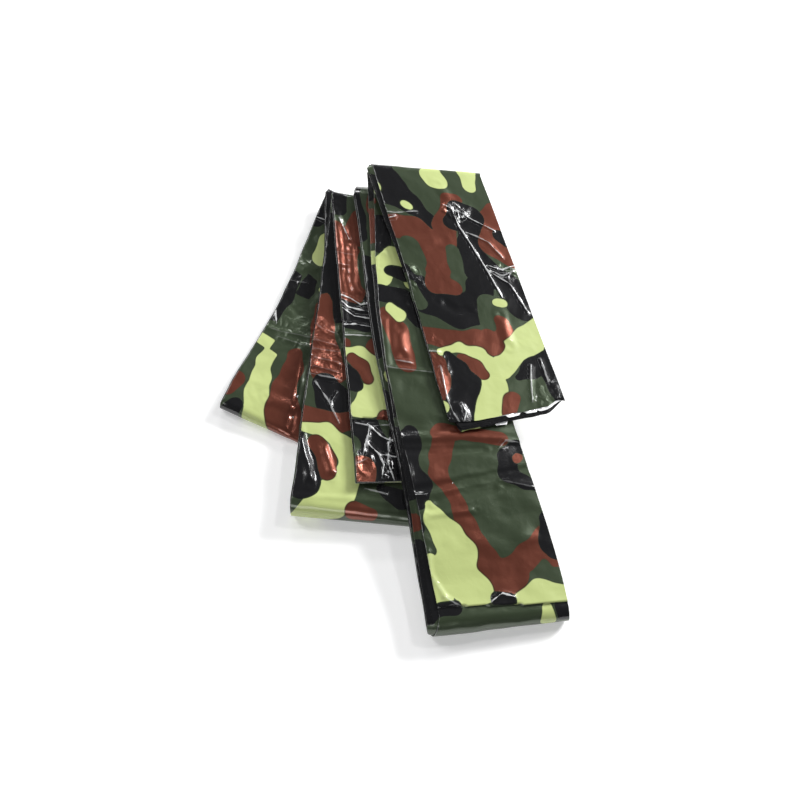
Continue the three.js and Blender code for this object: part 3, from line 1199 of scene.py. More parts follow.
@dataclass(frozen=True)
class Division:
    """How finely a leaf is divided along the runs, across them, around the loops and where it shows."""

    along: float = 5.0
    across: float = 5.0
    turn: float = 1.5
    finest: float = 1.25
    allowance: float = 1.5
    least_along: int = 2
    least_turn: int = 8
    fold_shares: Pair = (0.35, 0.7)
    rounds: int = 2

    def lines_along(self, spans: Sequence[Pair]) -> Array:
        """The cross lines of the flat leaf: even along the runs and closer around the loops.

        Args:
            spans: Where each run starts and ends.

        Returns:
            The ways along, in order.
        """
        lines = []
        for index, (start, end) in enumerate(spans):
            count = max(self.least_along, round((end - start) / self.along))
            lines.append(np.linspace(start, end, count, endpoint=False))
            if index + 1 < len(spans):
                following = spans[index + 1][0]
                count = max(self.least_turn, round((following - end) / self.turn))
                lines.append(np.linspace(end, following, count, endpoint=False))
        return np.concatenate([*lines, [spans[-1][1]]])

    def lines_across(self, fold_half: float, half_width: float) -> Array:
        """The long lines of the flat leaf, from the inner wall's open edge to the outer wall's.

        Args:
            fold_half: Half the width of the fold at the closed edge.
            half_width: Half the width of the flat leaf.

        Returns:
            The distances from the closed edge, negative on the inner wall.
        """
        count = round((half_width - fold_half) / self.across)
        wall = np.linspace(fold_half, half_width, count + 1)
        half = np.concatenate([np.multiply(self.fold_shares, fold_half), wall])
        return np.concatenate([-half[::-1], [0.0], half])

    def refine(self, sheet: bmesh.types.BMesh, shown: Sequence[Four]) -> None:
        """Divides a flat sheet finer where it shows.

        Args:
            sheet: The flat sheet.
            shown: The lowest and highest places of each part that shows, along and then across.
        """
        for _ in range(self.rounds):
            cut = [edge for edge in sheet.edges if self._too_long(edge, shown)]
            if cut:
                bmesh.ops.subdivide_edges(sheet, edges=cut, cuts=1, use_grid_fill=True)

    def _too_long(self, edge: bmesh.types.BMEdge, shown: Sequence[Four]) -> bool:
        """Whether an edge is to be cut, because it shows and is longer than the finest step allows.

        Args:
            edge: The edge.
            shown: The lowest and highest places of each part that shows, along and then across.

        Returns:
            True where it is.
        """
        if edge.calc_length() < self.allowance * self.finest:
            return False
        x, y = ((edge.verts[0].co + edge.verts[1].co) / 2).xy
        return any(x0 <= x <= x1 and y0 <= y <= y1 for x0, x1, y0, y1 in shown)


@dataclass(frozen=True)
class FoldWearAndGlint:
    """A painted highlight line along the closed edge, standing for the fold's glint and partly for worn ink:
    in patches, and not at the mouth.
    """

    place: float = 0.8
    amount: float = 0.15
    patches: Pair = (0.3, 17.0)
    start: Pair = (6.0, 24.0)
    seed: int = 79

    def added(self, flat: Array, near: Array, aside: Array, reach: float) -> tuple[Array, Array]:
        """Adds the closed edge to the creases.

        Args:
            flat: The flat places.
            near: How near the nearest crease is.
            aside: The signed distance from it.
            reach: How far from a crease a painted line can reach.

        Returns:
            Both, with the closed edge among them.
        """
        edge = flat[:, 1] - self.place
        patchy = self.amount + Grain.sway(flat[:, 0], np.zeros(len(flat)), self.patches, self.seed)
        patchy = patchy * ramp(flat[:, 0], *self.start)
        closeness = np.clip(patchy, 0, 1) * np.clip(1 - np.abs(edge) / reach, 0, 1)
        closer = closeness > near
        return np.where(closer, closeness, near), np.where(closer, np.clip(edge, -reach, reach), aside)


@dataclass
class FilmLeaf:
    """One leaf of the bundle: film folded double, closed at the left edge and open at the right."""

    name: str
    path: FoldPath
    dressing: Dressing
    side: Side | None
    outer: float
    inner: float
    mouth: tuple[Profile, Profile]
    windows: tuple[Window, ...]
    mouth_print: tuple[Blob, ...] = MOUTH
    division: Division = Division()
    wear_and_glint: FoldWearAndGlint = FoldWearAndGlint()
    half_width: float = 90.0
    fold_half: float = 1.2
    film: float = 0.12
    mouth_reach: float = 14.0
    mouth_turn: Pair = (-4.0, 4.0)
    droop: float = 0.0
    ragged: Pair = (0.5, 7.0)
    ragged_row: float = 3.0
    ragged_seed: int = 73
    trim: float = 0.0
    inner_trim: float = 0.5
    back_sway: Pair = (0.35, 17.0)
    back_seed: int = 71
    back_share: float = 0.25
    outermost: float = 1.45
    outer_wall: Pair = (0.85, 0.95)
    side_fade: float = 60.0

    @cached_property
    def flat(self) -> tuple[Array, list[tuple[int, ...]]]:
        """The leaf laid out flat, divided finer where it shows.

        Returns:
            The flat places of its vertices, and its faces as rows of vertex numbers.
        """
        along = self.division.lines_along(self.path.spans)
        across = self.division.lines_across(self.fold_half, self.half_width)
        rows = len(across)
        firsts = [i * rows + j for i in range(len(along) - 1) for j in range(rows - 1)]
        faces = [(first, first + rows, first + rows + 1, first + 1) for first in firsts]
        mesh = bpy.data.meshes.new(self.name + "_flat")
        mesh.from_pydata([(x, y, 0.0) for x in along for y in across], [], faces)
        sheet = bmesh.new()
        sheet.from_mesh(mesh)
        self.division.refine(sheet, [window.box(self.path.spans) for window in self.windows])
        sheet.verts.index_update()
        places = np.array([vertex.co[:2] for vertex in sheet.verts])
        divided = [tuple(vertex.index for vertex in face.verts) for face in sheet.faces]
        sheet.free()
        bpy.data.meshes.remove(mesh)
        return places, divided

    def _near_mouth(self, travel: Array) -> Array:
        """How near the mouth end points lie, from 0 to 1."""
        return np.clip(1 - travel / self.mouth_reach, 0, 1)

    def _placed(self, flat: Array) -> tuple[Array, Array, Array]:
        """Where flat places come to lie in the bundle.

        Args:
            flat: The flat places, along and across.

        Returns:
            The way along, the distance from the closed edge, and the offset through the bundle.
        """
        travel, across = flat.T
        spread = np.abs(across)
        share = np.clip((spread - self.fold_half) / (self.half_width - self.fold_half), 0, 1)
        turn = np.clip(spread / self.fold_half, 0, 1) * np.pi / 2
        radius = abs(self.outer - self.inner) / 2
        back = self.path.ledge_at(travel, self.side) if self.side else self._inner_back(travel)
        back = back + Grain.sway(travel, np.zeros_like(travel), self.back_sway, self.back_seed)
        start = back + radius * (1 - np.cos(turn))
        inset = np.where(across > 0, self.trim, self.trim + self.inner_trim)
        place = lerp(start, self.path.width_at(travel) - inset, share)
        offset = (self.outer + self.inner) / 2
        offset = offset + (self.outer - self.inner) / 2 * np.sin(turn) * np.sign(across)
        near = self._near_mouth(travel)
        reach = self._reach_out(place, across)
        return travel - reach * near * near, place, offset + self.droop * near * near

    def _inner_back(self, travel: Array) -> Array:
        """How far an inner leaf stands back: less than the upper side of the bundle."""
        ledges = [self.path.ledge_at(travel, side) for side in Side]
        return self.back_share * (ledges[0] + ledges[1])

    def _reach_out(self, place: Array, across: Array) -> Array:
        """How far the cut edge at the mouth reaches out, a little raggedly.

        Args:
            place: The distance from the closed edge.
            across: The same distance on the flat leaf, negative on its inner wall.

        Returns:
            The reach at each point, negative where the edge stands back.
        """
        outer, inner = (np.interp(place, *zip(*line)) for line in self.mouth)
        reach = lerp(inner, outer, ramp(across, *self.mouth_turn))
        height, length = self.ragged
        row = np.full_like(across, self.outer * self.ragged_row)
        return reach + height * Grain.smooth(across / length, row, self.ragged_seed)

    def _folded(self, travel: Array, across: Array, offset: Array) -> Array:
        """Places the leaf in the folded bundle, with its creases.

        Args:
            travel: The way along.
            across: The distance from the closed edge.
            offset: The offset through the bundle, towards its face side.

        Returns:
            The points in millimetres.
        """
        moved, pushed = offset, travel
        for side in Side:
            lift, push = self.dressing.relief(side, travel, across)
            weight = np.clip(0.5 + side.value * offset / (2 * self.outermost), 0, 1)
            outer_wall = ramp(weight, *self.outer_wall)
            moved = moved + side.value * lift * np.where(lift > 0, outer_wall, weight)
            pushed = pushed + push * outer_wall
        return self.path.folded(pushed, across, moved)

    def build(self) -> bpy.types.Object:
        """Makes the leaf's mesh with its print, its creases and its flat places.

        Returns:
            The new object, a film of one layer that faces out of the leaf.
        """
        flat, faces = self.flat
        travel, across, offset = self._placed(flat)
        points = self._folded(travel, across, offset) * MM
        if self.side is Side.BACK:
            faces = [face[::-1] for face in faces]
        mesh = bpy.data.meshes.new(self.name)
        mesh.from_pydata(points.tolist(), [], faces)
        mesh.shade_smooth()
        self._sharpen_open_edges(mesh)
        for name, values in self._finish_values(flat, travel, across).items():
            attribute = mesh.attributes.new(name, "FLOAT", "POINT")
            attribute.data.foreach_set("value", values.astype(np.float32))
        self._store_flat(mesh, flat)
        piece = bpy.data.objects.new(self.name, mesh)
        bpy.context.scene.collection.objects.link(piece)
        return piece

    def _finish_values(self, flat: Array, travel: Array, across: Array) -> dict[str, Array]:
        """What the film's finish reads at each vertex.

        Args:
            flat: The flat places.
            travel: The way along.
            across: The distance from the closed edge.

        Returns:
            The creases, the crumpled film and the distances outside each ink, by name.
        """
        outer_wall = flat[:, 1] >= 0
        values = {}
        inks = self.dressing.ledge_print_and_shade(travel, across, self.mouth_print)
        if self.side:
            for ink, away in self.dressing.print(self.side, travel, across).items():
                inks[ink] = np.where(outer_wall, away, inks[ink])
            values["crumple"] = self.dressing.crumple(self.side, travel, across) * outer_wall
            creases = self.dressing.creases(self.side, travel, across)
            # The closed edge gets a painted highlight line too.
            near, aside = self.wear_and_glint.added(flat, *creases, self.dressing.crease_reach)
            values |= {"crease_near": near * outer_wall, "crease_side": aside}
        return values | {"ink_" + ink.name.lower(): away for ink, away in inks.items()}

    def directions(self) -> dict[str, Array]:
        """The directions through, along and across the bundle at each of the leaf's vertices.

        Returns:
            Unit vectors by name. The one along the bundle fades away from the mouth end, and the one
            across it fades towards the open edge.
        """
        travel, across, offset = self._placed(self.flat[0])
        here = self.path.folded(travel, across, offset)
        through = self.path.folded(travel, across, offset + 1) - here
        back = self.path.folded(travel - 1, across, offset) - here
        back *= (self._near_mouth(travel) ** 2)[:, None]
        aside = self.path.folded(travel, across + 1, offset) - here
        aside *= (1 - np.clip(across / self.side_fade, 0, 1))[:, None]
        return {"through": through, "mouthward": back, "sideways": aside}

    @staticmethod
    def _sharpen_open_edges(mesh: bpy.types.Mesh) -> None:
        """Marks the open edges as sharp, so that the film stays flat up to its cut edge.

        Args:
            mesh: The leaf's mesh.
        """
        used = np.zeros(len(mesh.loops), np.int32)
        mesh.loops.foreach_get("edge_index", used)
        open_edges = np.bincount(used, minlength=len(mesh.edges)) == 1
        mesh.attributes.new("sharp_edge", "BOOLEAN", "EDGE").data.foreach_set("value", open_edges)

    @staticmethod
    def _store_flat(mesh: bpy.types.Mesh, flat: Array) -> None:
        """Keeps each vertex's flat place, in metres, as the mesh's UV map.

        Args:
            mesh: The leaf's mesh.
            flat: The flat places.
        """
        used = np.zeros(len(mesh.loops), np.int32)
        mesh.loops.foreach_get("vertex_index", used)
        layer = mesh.uv_layers.new(name="film")
        layer.uv.foreach_set("vector", (flat[used] * MM).astype(np.float32).ravel())


class Socket:
    """A node's output that takes part in Python arithmetic, each step adding a node."""

    def __init__(self, graph: "Graph", output: bpy.types.NodeSocket) -> None:
        """Wraps one output of a node in a graph."""
        self.graph, self.output = graph, output

    def _math(self, operation: str, *values: "Socket | float", clamp: bool = False) -> "Socket":
        """The result of one Math node on the given values."""
        settings = {"operation": operation, "use_clamp": clamp}
        return self.graph.node("ShaderNodeMath", settings, dict(enumerate(values)))

    def __add__(self, other: "Socket | float") -> "Socket":
        """Adds."""
        return self._math("ADD", self, other)

    def __mul__(self, other: "Socket | float") -> "Socket":
        """Multiplies."""
        return self._math("MULTIPLY", self, other)

    def __sub__(self, other: "Socket | float") -> "Socket":
        """Subtracts."""
        return self._math("SUBTRACT", self, other)

    def __rsub__(self, other: float) -> "Socket":
        """Is subtracted from a number."""
        return self._math("SUBTRACT", other, self)

    def __truediv__(self, other: "Socket | float") -> "Socket":
        """Divides."""
        return self._math("DIVIDE", self, other)

    __radd__ = __add__
    __rmul__ = __mul__

    def clamped(self) -> "Socket":
        """The value kept from 0 to 1."""
        return self._math("ADD", self, 0.0, clamp=True)

    def size(self) -> "Socket":
        """The value without its sign."""
        return self._math("ABSOLUTE", self)

    def above(self, low: float, high: float) -> "Socket":
        """A straight rise from 0 at low to 1 at high."""
        return ((self - low) / (high - low)).clamped()

    def beside(self, name: str) -> "Socket":
        """Another output of the same node."""
        return Socket(self.graph, self.output.node.outputs[name])


class Graph:
    """A node tree, with one method for any node."""

    def __init__(self, tree: bpy.types.NodeTree) -> None:
        """Takes a new node tree and empties it."""
        self.tree = tree
        self.tree.nodes.clear()

    def node(
        self,
        kind: str,
        settings: dict[str, object],
        inputs: dict[str | int, object],
        result: str | int = 0,
    ) -> Socket | None:
        """Adds a node.

        Args:
            kind: The node's type.
            settings: Its own settings, which are made first.
            inputs: The values or sockets of its inputs, by name or number.
            result: The output that is wanted, by name or number.

        Returns:
            That output, or None for a node without outputs.
        """
        added = self.tree.nodes.new(kind)
        for name, value in settings.items():
            setattr(added, name, value)
        for name, value in inputs.items():
            if isinstance(value, Socket):
                self.tree.links.new(value.output, added.inputs[name])
            else:
                added.inputs[name].default_value = value
        return Socket(self, added.outputs[result]) if len(added.outputs) else None


class Shader(Graph):
    """A material's node tree, with the nodes that the finishes share."""

    def __init__(self, name: str) -> None:
        """Makes an empty material.

        Args:
            name: The material's name.
        """
        self.material = bpy.data.materials.new(name)
        self.material.use_nodes = True
        super().__init__(self.material.node_tree)

    def flat(self) -> Socket:
        """The film's flat places, in metres."""
        return self.node("ShaderNodeUVMap", {"uv_map": "film"}, {}, "UV")

    def attribute(self, name: str) -> Socket:
        """A number that the mesh keeps for each vertex."""
        return self.node("ShaderNodeAttribute", {"attribute_name": name}, {}, "Fac")

    def mix(self, factor: Socket | float, first: object, second: object) -> Socket:
        """A colour between two, by a factor."""
        inputs = {0: factor, 6: first, 7: second}
        return self.node("ShaderNodeMix", {"data_type": "RGBA"}, inputs, 2)

    def noise(self, place: Socket, scale: float, detail: float = 2.0, distortion: float = 0.0) -> Socket:
        """Smooth noise over the given places."""
        inputs = {"Vector": place, "Scale": scale, "Detail": detail, "Distortion": distortion}
        return self.node("ShaderNodeTexNoise", {}, inputs, "Fac")

    def facets(self, place: Socket, scale: float) -> Socket:
        """Flat facets between sharp creases over the given places."""
        settings = {"feature": "F1", "distance": "MANHATTAN"}
        return self.node("ShaderNodeTexVoronoi", settings, {"Vector": place, "Scale": scale}, "Distance")

    def bump(self, height: Socket, distance: float) -> Socket:
        """The normal of a surface with the given height, times a distance."""
        return self.node("ShaderNodeBump", {}, {"Strength": 1.0, "Distance": distance, "Height": height})

    def finish(self, inputs: dict[str, object]) -> bpy.types.Material:
        """Ends the material in a Principled surface.

        Args:
            inputs: The surface's inputs, by name.

        Returns:
            The material.
        """
        surface = self.node("ShaderNodeBsdfPrincipled", {}, inputs)
        self.node("ShaderNodeOutputMaterial", {}, {"Surface": surface})
        return self.material


@dataclass(frozen=True)
class InkLook:
    """How an ink looks on the film."""

    colour: Colour
    metallic: float
    roughness: float


INK_LOOKS = {
    Ink.GREEN: InkLook((0.042, 0.060, 0.031, 1), 0.42, 0.33),
    Ink.BROWN: InkLook((0.180, 0.052, 0.031, 1), 0.68, 0.31),
    Ink.BLACK: InkLook((0.009, 0.009, 0.010, 1), 0.20, 0.20),
    Ink.LIME: InkLook((0.440, 0.510, 0.190, 1), 0.0, 0.45),
}


@dataclass(frozen=True)
class WornGlintLines:
    """Painted highlight lines along the sharpest creases, standing for glints and partly for worn ink,
    broken here and there.
    """

    # The near-white of the painted highlight lines.
    colour: Colour = (0.85, 0.86, 0.86, 1)
    share: float = 0.85
    half: float = 1.1
    least: float = 0.1
    core: float = 0.5
    break_scale: float = 150.0
    breaks: Pair = (0.35, 0.7)

    def mask(self, shader: Shader, flat: Socket) -> Socket:
        """How strongly the painted highlight lines show, from 0 to 1.

        Args:
            shader: The film's shader.
            flat: The film's flat places.

        Returns:
            The amount.
        """
        away = shader.attribute("crease_side").size()
        width = shader.noise(flat, self.break_scale).above(*self.breaks) * self.half + self.least
        line = (1 - away / width).above(0.0, self.core)
        return (shader.attribute("crease_near") * line).clamped()


@dataclass(frozen=True)
class FineCreases:
    """The finest creases of the film, as a bump in millimetres that grows where it is crumpled.

    The heights of facets and of folds are those of smooth film and what crumpled film adds.
    """

    swell_scale: float = 70.0
    swell_height: float = 0.3
    bend_scale: float = 90.0
    bend: float = 0.012
    facet_scale: float = 110.0
    facet_heights: Pair = (0.08, 0.8)
    fold_scale: float = 120.0
    fold_distortion: float = 0.6
    fold_heights: Pair = (0.06, 1.1)
    worn_glint_height: float = 0.12

    def normal(self, shader: Shader, flat: Socket, worn_glint: Socket) -> Socket:
        """The film's normal with its finest creases.

        Args:
            shader: The film's shader.
            flat: The film's flat places.
            worn_glint: How strongly the painted highlight lines show.

        Returns:
            The bumped normal.
        """
        crumple = shader.attribute("crumple")
        swells = shader.noise(flat, self.swell_scale) * self.swell_height
        bent = shader.noise(flat, self.bend_scale, 1.0).beside("Color")
        inputs = {0: bent, 1: (self.bend,) * 3, 2: flat}
        swayed = shader.node("ShaderNodeVectorMath", {"operation": "MULTIPLY_ADD"}, inputs)
        smooth, more = self.facet_heights
        facets = shader.facets(swayed, self.facet_scale) * (crumple * more + smooth)
        smooth, more = self.fold_heights
        level = shader.noise(swayed, self.fold_scale, distortion=self.fold_distortion)
        folds = (level - 0.5).size() * (crumple * more + smooth)
        return shader.bump(swells + facets + folds + worn_glint * self.worn_glint_height, MM)


@dataclass(frozen=True)
class PrintedFilm:
    """The outside of the film: a metallised layer under four inks, thin, glossy and creased."""

    name: str = "printed_film"
    edge: float = 0.25
    rim: float = 0.55
    rim_share: float = 0.75
    brown_rim: float = 0.4
    brown_rim_share: float = 0.35
    rim_colour: Colour = (0.030, 0.045, 0.022, 1)
    coat: float = 0.5
    coat_roughness: float = 0.08
    worn_glint: WornGlintLines = WornGlintLines()
    creases: FineCreases = FineCreases()

    @staticmethod
    def _inked(shader: Shader, masks: dict[Ink, Socket], part: Callable[[InkLook], object]) -> Socket:
        """Lays the inks' colours or values over each other.

        Args:
            shader: The film's shader.
            masks: Where each ink shows.
            part: Takes the wanted colour out of an ink's look.

        Returns:
            The colour where each ink shows.
        """
        laid: object = part(INK_LOOKS[Ink.GREEN])
        for ink, mask in masks.items():
            laid = shader.mix(mask, laid, part(INK_LOOKS[ink]))
        return laid

    def build(self) -> bpy.types.Material:
        """Makes the printed film's material.

        Returns:
            The material.
        """
        shader = Shader(self.name)
        flat = shader.flat()
        away = {ink: shader.attribute("ink_" + ink.name.lower()) for ink in (Ink.BROWN, Ink.BLACK, Ink.LIME)}
        masks = {ink: 1 - distance.above(-self.edge, self.edge) for ink, distance in away.items()}
        colour = self._inked(shader, masks, lambda look: look.colour)
        rim = 1 - (away[Ink.LIME] - self.rim).size().above(0.0, self.rim)
        colour = shader.mix(rim * self.rim_share, colour, self.rim_colour)
        brown_rim = 1 - away[Ink.BROWN].size().above(0.0, self.brown_rim)
        colour = shader.mix(brown_rim * self.brown_rim_share, colour, self.rim_colour)
        # Painted highlight: near-white lines mixed into the base colour along the sharpest creases and the
        # closed edge, standing for glints and partly for worn ink.
        worn_glint = self.worn_glint.mask(shader, flat)
        return shader.finish(
            {
                "Base Color": shader.mix(worn_glint * self.worn_glint.share, colour, self.worn_glint.colour),
                "Metallic": self._inked(shader, masks, lambda look: (look.metallic,) * 3 + (1,)),
                "Roughness": self._inked(shader, masks, lambda look: (look.roughness,) * 3 + (1,)),
                "Normal": self.creases.normal(shader, flat, worn_glint),
                "Coat Weight": self.coat,
                "Coat Roughness": self.coat_roughness,
            }
        )


@dataclass(frozen=True)
class SilverFilm:
    """The inside of the film: bare metallised silver with fine crinkles. Its near-white base colour with
    little metal is a painted reflection, bright whatever it faces.
    """

    name: str = "silver_film"
    # Near-white, with little metal: painted reflection of bright surroundings.
    colour: Colour = (0.97, 0.97, 0.98, 1)
    metallic: float = 0.25
    roughness: float = 0.25
    crinkle: float = 0.0004
    crinkle_scale: float = 260.0

    def build(self) -> bpy.types.Material:
        """Makes the silver film's material.

        Returns:
            The material.
        """
        shader = Shader(self.name)
        normal = shader.bump(shader.facets(shader.flat(), self.crinkle_scale), self.crinkle)
        inputs = {"Base Color": self.colour, "Metallic": self.metallic, "Roughness": self.roughness}
        return shader.finish({**inputs, "Normal": normal})


@dataclass
class LeafStack:
    """The inner leaves: one leaf repeated through the bundle by Geometry Nodes."""

    leaves: int = 3
    spacing: float = 0.36
    mouth_step: float = 1.3
    side_step: float = 0.9

    @staticmethod
    def _shift(graph: Graph, entry: Socket, number: Socket) -> Socket:
        """How far each leaf of the stack is moved.

        Args:
            graph: The stack's node tree.
            entry: One of the tree's own inputs.
            number: The leaf's number, from 0.

        Returns:
            The shift: through the bundle, towards the mouth and, for every second leaf, sideways.
        """
        centred = number - (entry.beside("Leaves") * 0.5 - 0.5)
        odd = graph.node("ShaderNodeMath", {"operation": "PINGPONG"}, {0: number, 1: 2.0})
        steps = (
            ("through", centred, "Spacing"),
            ("mouthward", number, "Mouth Step"),
            ("sideways", odd, "Side Step"),
        )
        shift = None
        for name, count, step in steps:
            settings = {"data_type": "FLOAT_VECTOR"}
            vector = graph.node("GeometryNodeInputNamedAttribute", settings, {"Name": name}, "Attribute")
            inputs = {0: vector, "Scale": count * entry.beside(step)}
            move = graph.node("ShaderNodeVectorMath", {"operation": "SCALE"}, inputs)
            if shift:
                move = graph.node("ShaderNodeVectorMath", {"operation": "ADD"}, {0: shift, 1: move})
            shift = move
        return shift

    def _tree(self, film: bpy.types.Material) -> bpy.types.NodeTree:
        """Builds the node tree that repeats a leaf.

        Args:
            film: The material that every leaf gets.

        Returns:
            The tree, with the sizes as its inputs.
        """
        tree = bpy.data.node_groups.new("leaf_stack", "GeometryNodeTree")
        face = tree.interface
        face.new_socket("Leaf", in_out="INPUT", socket_type="NodeSocketGeometry")
        face.new_socket("Leaves", in_out="INPUT", socket_type="NodeSocketInt")
        for name in ("Spacing", "Mouth Step", "Side Step"):
            face.new_socket(name, in_out="INPUT", socket_type="NodeSocketFloat")
        face.new_socket("Leaves", in_out="OUTPUT", socket_type="NodeSocketGeometry")
        graph = Graph(tree)
        entry = graph.node("NodeGroupInput", {}, {}, "Leaf")
        whole = graph.node("GeometryNodeGeometryToInstance", {}, {0: entry})
        inputs = {"Geometry": whole, "Amount": entry.beside("Leaves")}
        copies = graph.node("GeometryNodeDuplicateElements", {"domain": "INSTANCE"}, inputs, "Geometry")
        settings = {"data_type": "FLOAT", "domain": "INSTANCE"}
        inputs = {"Geometry": copies, "Name": "leaf", "Value": copies.beside("Duplicate Index")}
        kept = graph.node("GeometryNodeStoreNamedAttribute", settings, inputs)
        real = graph.node("GeometryNodeRealizeInstances", {}, {0: kept})
        settings = {"data_type": "FLOAT"}
        number = graph.node("GeometryNodeInputNamedAttribute", settings, {"Name": "leaf"}, "Attribute")
        inputs = {"Geometry": real, "Offset": self._shift(graph, entry, number)}
        moved = graph.node("GeometryNodeSetPosition", {}, inputs)
        solid = graph.node("GeometryNodeRealizeInstances", {}, {0: moved})
        dressed = graph.node("GeometryNodeSetMaterial", {}, {"Geometry": solid, "Material": film})
        graph.node("NodeGroupOutput", {}, {0: dressed})
        return tree

    def repeat(self, leaf: bpy.types.Object, vectors: dict[str, Array], film: bpy.types.Material) -> None:
        """Turns one leaf's mesh into the whole stack.

        Args:
            leaf: The leaf in the middle of the bundle.
            vectors: The directions through the bundle, along it and across it, for each vertex.
            film: The material that every leaf gets.
        """
        for name, values in vectors.items():
            attribute = leaf.data.attributes.new(name, "FLOAT_VECTOR", "POINT")
            attribute.data.foreach_set("vector", values.astype(np.float32).ravel())
        tree = self._tree(film)
        modifier = leaf.modifiers.new("stack", "NODES")
        modifier.node_group = tree
        sizes = {
            "Leaves": self.leaves,
            "Spacing": self.spacing * MM,
            "Mouth Step": self.mouth_step * MM,
            "Side Step": self.side_step * MM,
        }
        for item in tree.interface.items_tree:
            if item.in_out == "INPUT" and item.name in sizes:
                modifier[item.identifier] = sizes[item.name]
        graph = bpy.context.evaluated_depsgraph_get()
        made = bpy.data.meshes.new_from_object(leaf.evaluated_get(graph), depsgraph=graph)
        leaf.modifiers.clear()
        for name in (*vectors, "leaf"):
            made.attributes.remove(made.attributes[name])
        made.name = leaf.data.name
        leaf.data = made


@dataclass
class FoldedBag:
    """The whole bag: its two outer leaves and the inner ones between them."""

    path: FoldPath
    printed: bpy.types.Material
    silver: bpy.types.Material
    bag_length: float = 2.2
    leaf_width: float = 0.18

    def _finish(self, leaf: bpy.types.Object, film: float, leaves: int = 1) -> bpy.types.Object:
        """Gives a leaf the film's thickness, its materials and its place in the frame.

        Args:
            leaf: The leaf's object.
            film: The film's thickness in millimetres.
            leaves: How many leaves the object holds; not used.

        Returns:
            The same object.
        """
        leaf.data.materials.clear()
        leaf.data.materials.append(self.printed)
        leaf.data.materials.append(self.silver)
        wall = leaf.modifiers.new("film", "SOLIDIFY")
        wall.thickness = film * MM
        wall.offset = -1.0
        wall.material_offset = 1
        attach(leaf, BODY)
        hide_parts(SOLID)
        self.leaf_width * leaves
        LOG.info("%s: %d faces", leaf.name, len(leaf.data.polygons))
        return leaf

    def build(self) -> list[bpy.types.Object]:
        """Makes every leaf of the bag.

        Returns:
            The objects of the two outer leaves and of the inner ones.
        """
        leaf = partial(FilmLeaf, path=self.path, dressing=Dressing(self.path, SHOWN))
        face = leaf(
            name="face_leaf",
            side=Side.FACE,
            outer=1.42,
            inner=0.74,
            mouth=FACE_MOUTH,
            windows=FACE_WINDOWS,
            mouth_print=LOWEST_MOUTH,
            droop=0.5,
        )
        back = leaf(
            name="back_leaf",
            side=Side.BACK,
            outer=-1.42,
            inner=-0.74,
            mouth=BACK_MOUTH,
            windows=BACK_WINDOWS,
        )
        inner = leaf(
            name="inner_leaves",
            side=None,
            outer=0.10,
            inner=-0.10,
            mouth=INNER_MOUTH,
            windows=INNER_WINDOWS,
            division=Division(along=6.0, across=12.0, turn=2.2),
            film=0.08,
            droop=0.25,
            trim=1.0,
        )
        pieces = [self._finish(outside.build(), outside.film) for outside in (face, back)]
        stack, middle = LeafStack(), inner.build()
        stack.repeat(middle, inner.directions(), self.printed)
        return [*pieces, self._finish(middle, inner.film, stack.leaves)]


@dataclass(frozen=True)
class SoftLight:
    """A large soft lamp: where it stands, what size it is and how strong, aimed at the bag."""

    name: str
    place: Triple
    size: Pair
    power: float

    def build(self, target: Vector) -> None:
        """Puts the lamp in the scene.

        Args:
            target: The place that it faces.
        """
        lamp = bpy.data.lights.new(self.name, "AREA")
        lamp.shape = "RECTANGLE"
        lamp.size, lamp.size_y = self.size
        lamp.energy = self.power
        stand = bpy.data.objects.new(self.name, lamp)
        stand.location = self.place
        stand.rotation_euler = (target - Vector(self.place)).to_track_quat("-Z", "Y").to_euler()
        bpy.context.scene.collection.objects.link(stand)


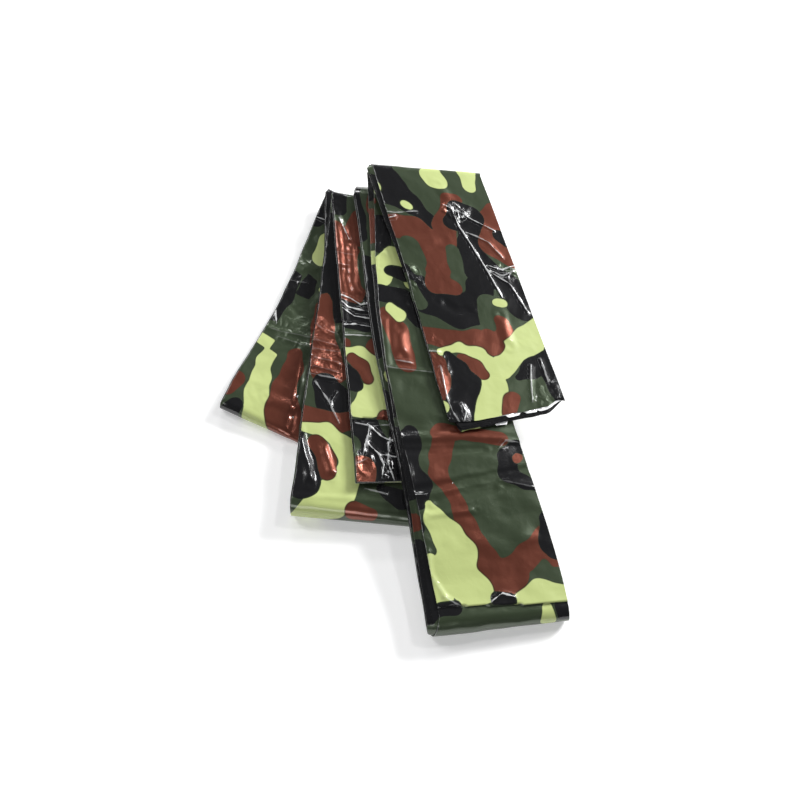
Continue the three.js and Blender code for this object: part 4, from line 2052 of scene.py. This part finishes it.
@dataclass(frozen=True)
class Studio:
    """The camera at the photo's angle, the pale floor and the soft lights."""

    target: Triple = (0.0065, -0.0055, 0.012)
    elevation: float = 66.0
    distance: float = 1.1
    metres_per_pixel: float = 0.00076
    picture_side: int = 800
    sensor: float = 36.0
    clip: Pair = (0.05, 50.0)
    floor_size: float = 16.0
    floor_fade: Pair = (0.6, 2.0)
    floor_glow: Colour = (0.24, 0.24, 0.24, 1)
    floor_roughness: float = 0.9
    pale: Colour = (0.97, 0.97, 0.97, 1)
    white: Colour = (1, 1, 1, 1)
    sky: Colour = (0.95, 0.97, 1, 1)
    sky_strength: float = 0.09
    lights: tuple[SoftLight, ...] = (
        SoftLight("key", (2.3, 1.9, 1.6), (1.0, 0.9), 165.0),
        SoftLight("front_fill", (-0.7, -2.4, 2.0), (1.4, 1.2), 26.0),
        SoftLight("left_glow", (-1.8, 1.2, 2.2), (0.9, 0.9), 30.0),
        SoftLight("glint_right", (1.3, 0.9, 2.2), (0.22, 0.22), 10.0),
        SoftLight("glint_back", (-0.2, 2.6, 1.5), (0.6, 0.2), 14.0),
    )

    def camera(self) -> None:
        """Makes the scene's camera."""
        lift = math.radians(self.elevation)
        back = Vector((0, -math.cos(lift), math.sin(lift)))
        data = bpy.data.cameras.new("camera")
        data.sensor_width = self.sensor
        data.lens = self.sensor * self.distance / (self.metres_per_pixel * self.picture_side)
        data.clip_start, data.clip_end = self.clip
        stand = bpy.data.objects.new("camera", data)
        stand.location = Vector(self.target) + back * self.distance
        stand.rotation_euler = (-back).to_track_quat("-Z", "Y").to_euler()
        bpy.context.scene.collection.objects.link(stand)
        bpy.context.scene.camera = stand

    def floor(self) -> None:
        """Lays the pale floor under the bag."""
        half = self.floor_size / 2
        mesh = bpy.data.meshes.new(FLOOR_NAME)
        plan = [(-half, -half, 0), (half, -half, 0), (half, half, 0), (-half, half, 0)]
        mesh.from_pydata(plan, [], [(0, 1, 2, 3)])
        piece = bpy.data.objects.new(FLOOR_NAME, mesh)
        bpy.context.scene.collection.objects.link(piece)
        mesh.materials.append(self._floor_finish())

    def _floor_finish(self) -> bpy.types.Material:
        """Makes the floor's material, which stays pale far away too, where the lamps don't reach.

        Returns:
            The material.
        """
        shader = Shader("pale_floor")
        place = shader.node("ShaderNodeTexCoord", {}, {}, "Object")
        away = shader.node("ShaderNodeVectorMath", {"operation": "LENGTH"}, {0: place}, "Value")
        glow = shader.mix(away.above(*self.floor_fade), self.floor_glow, self.pale)
        inputs = {"Base Color": self.pale, "Roughness": self.floor_roughness}
        return shader.finish({**inputs, "Emission Color": glow, "Emission Strength": 1.0})

    def build(self) -> None:
        """Makes the camera, the floor, the lights and the pale surroundings."""
        self.camera()
        self.floor()
        for lamp in self.lights:
            lamp.build(Vector(self.target))
        self.surroundings()
        bpy.context.scene.view_settings.view_transform = "Standard"

    def surroundings(self) -> None:
        """Makes the world: dim where it lights the bag, and pale like the floor where it is seen."""
        world = bpy.data.worlds.new("surroundings")
        world.use_nodes = True
        graph = Graph(world.node_tree)
        dim = graph.node("ShaderNodeBackground", {}, {"Color": self.sky, "Strength": self.sky_strength})
        seen = graph.node("ShaderNodeBackground", {}, {"Color": self.white})
        direct = graph.node("ShaderNodeLightPath", {}, {}, "Is Camera Ray")
        surface = graph.node("ShaderNodeMixShader", {}, {0: direct, 1: dim, 2: seen})
        graph.node("ShaderNodeOutputWorld", {}, {"Surface": surface})
        bpy.context.scene.world = world


def main() -> None:
    """Builds the studio and the bag in order."""
    logging.basicConfig(level=logging.INFO, format="%(name)s %(message)s")
    Studio().build()
    path = FoldPath(CREASES, RUNS)
    LOG.info("the bundle is %.0f mm long", path.spans[-1][1])
    bag = FoldedBag(path, PrintedFilm().build(), SilverFilm().build())
    for piece in bag.build():
        LOG.info("%s is in place", piece.name)


if __name__ == "__main__":
    main()
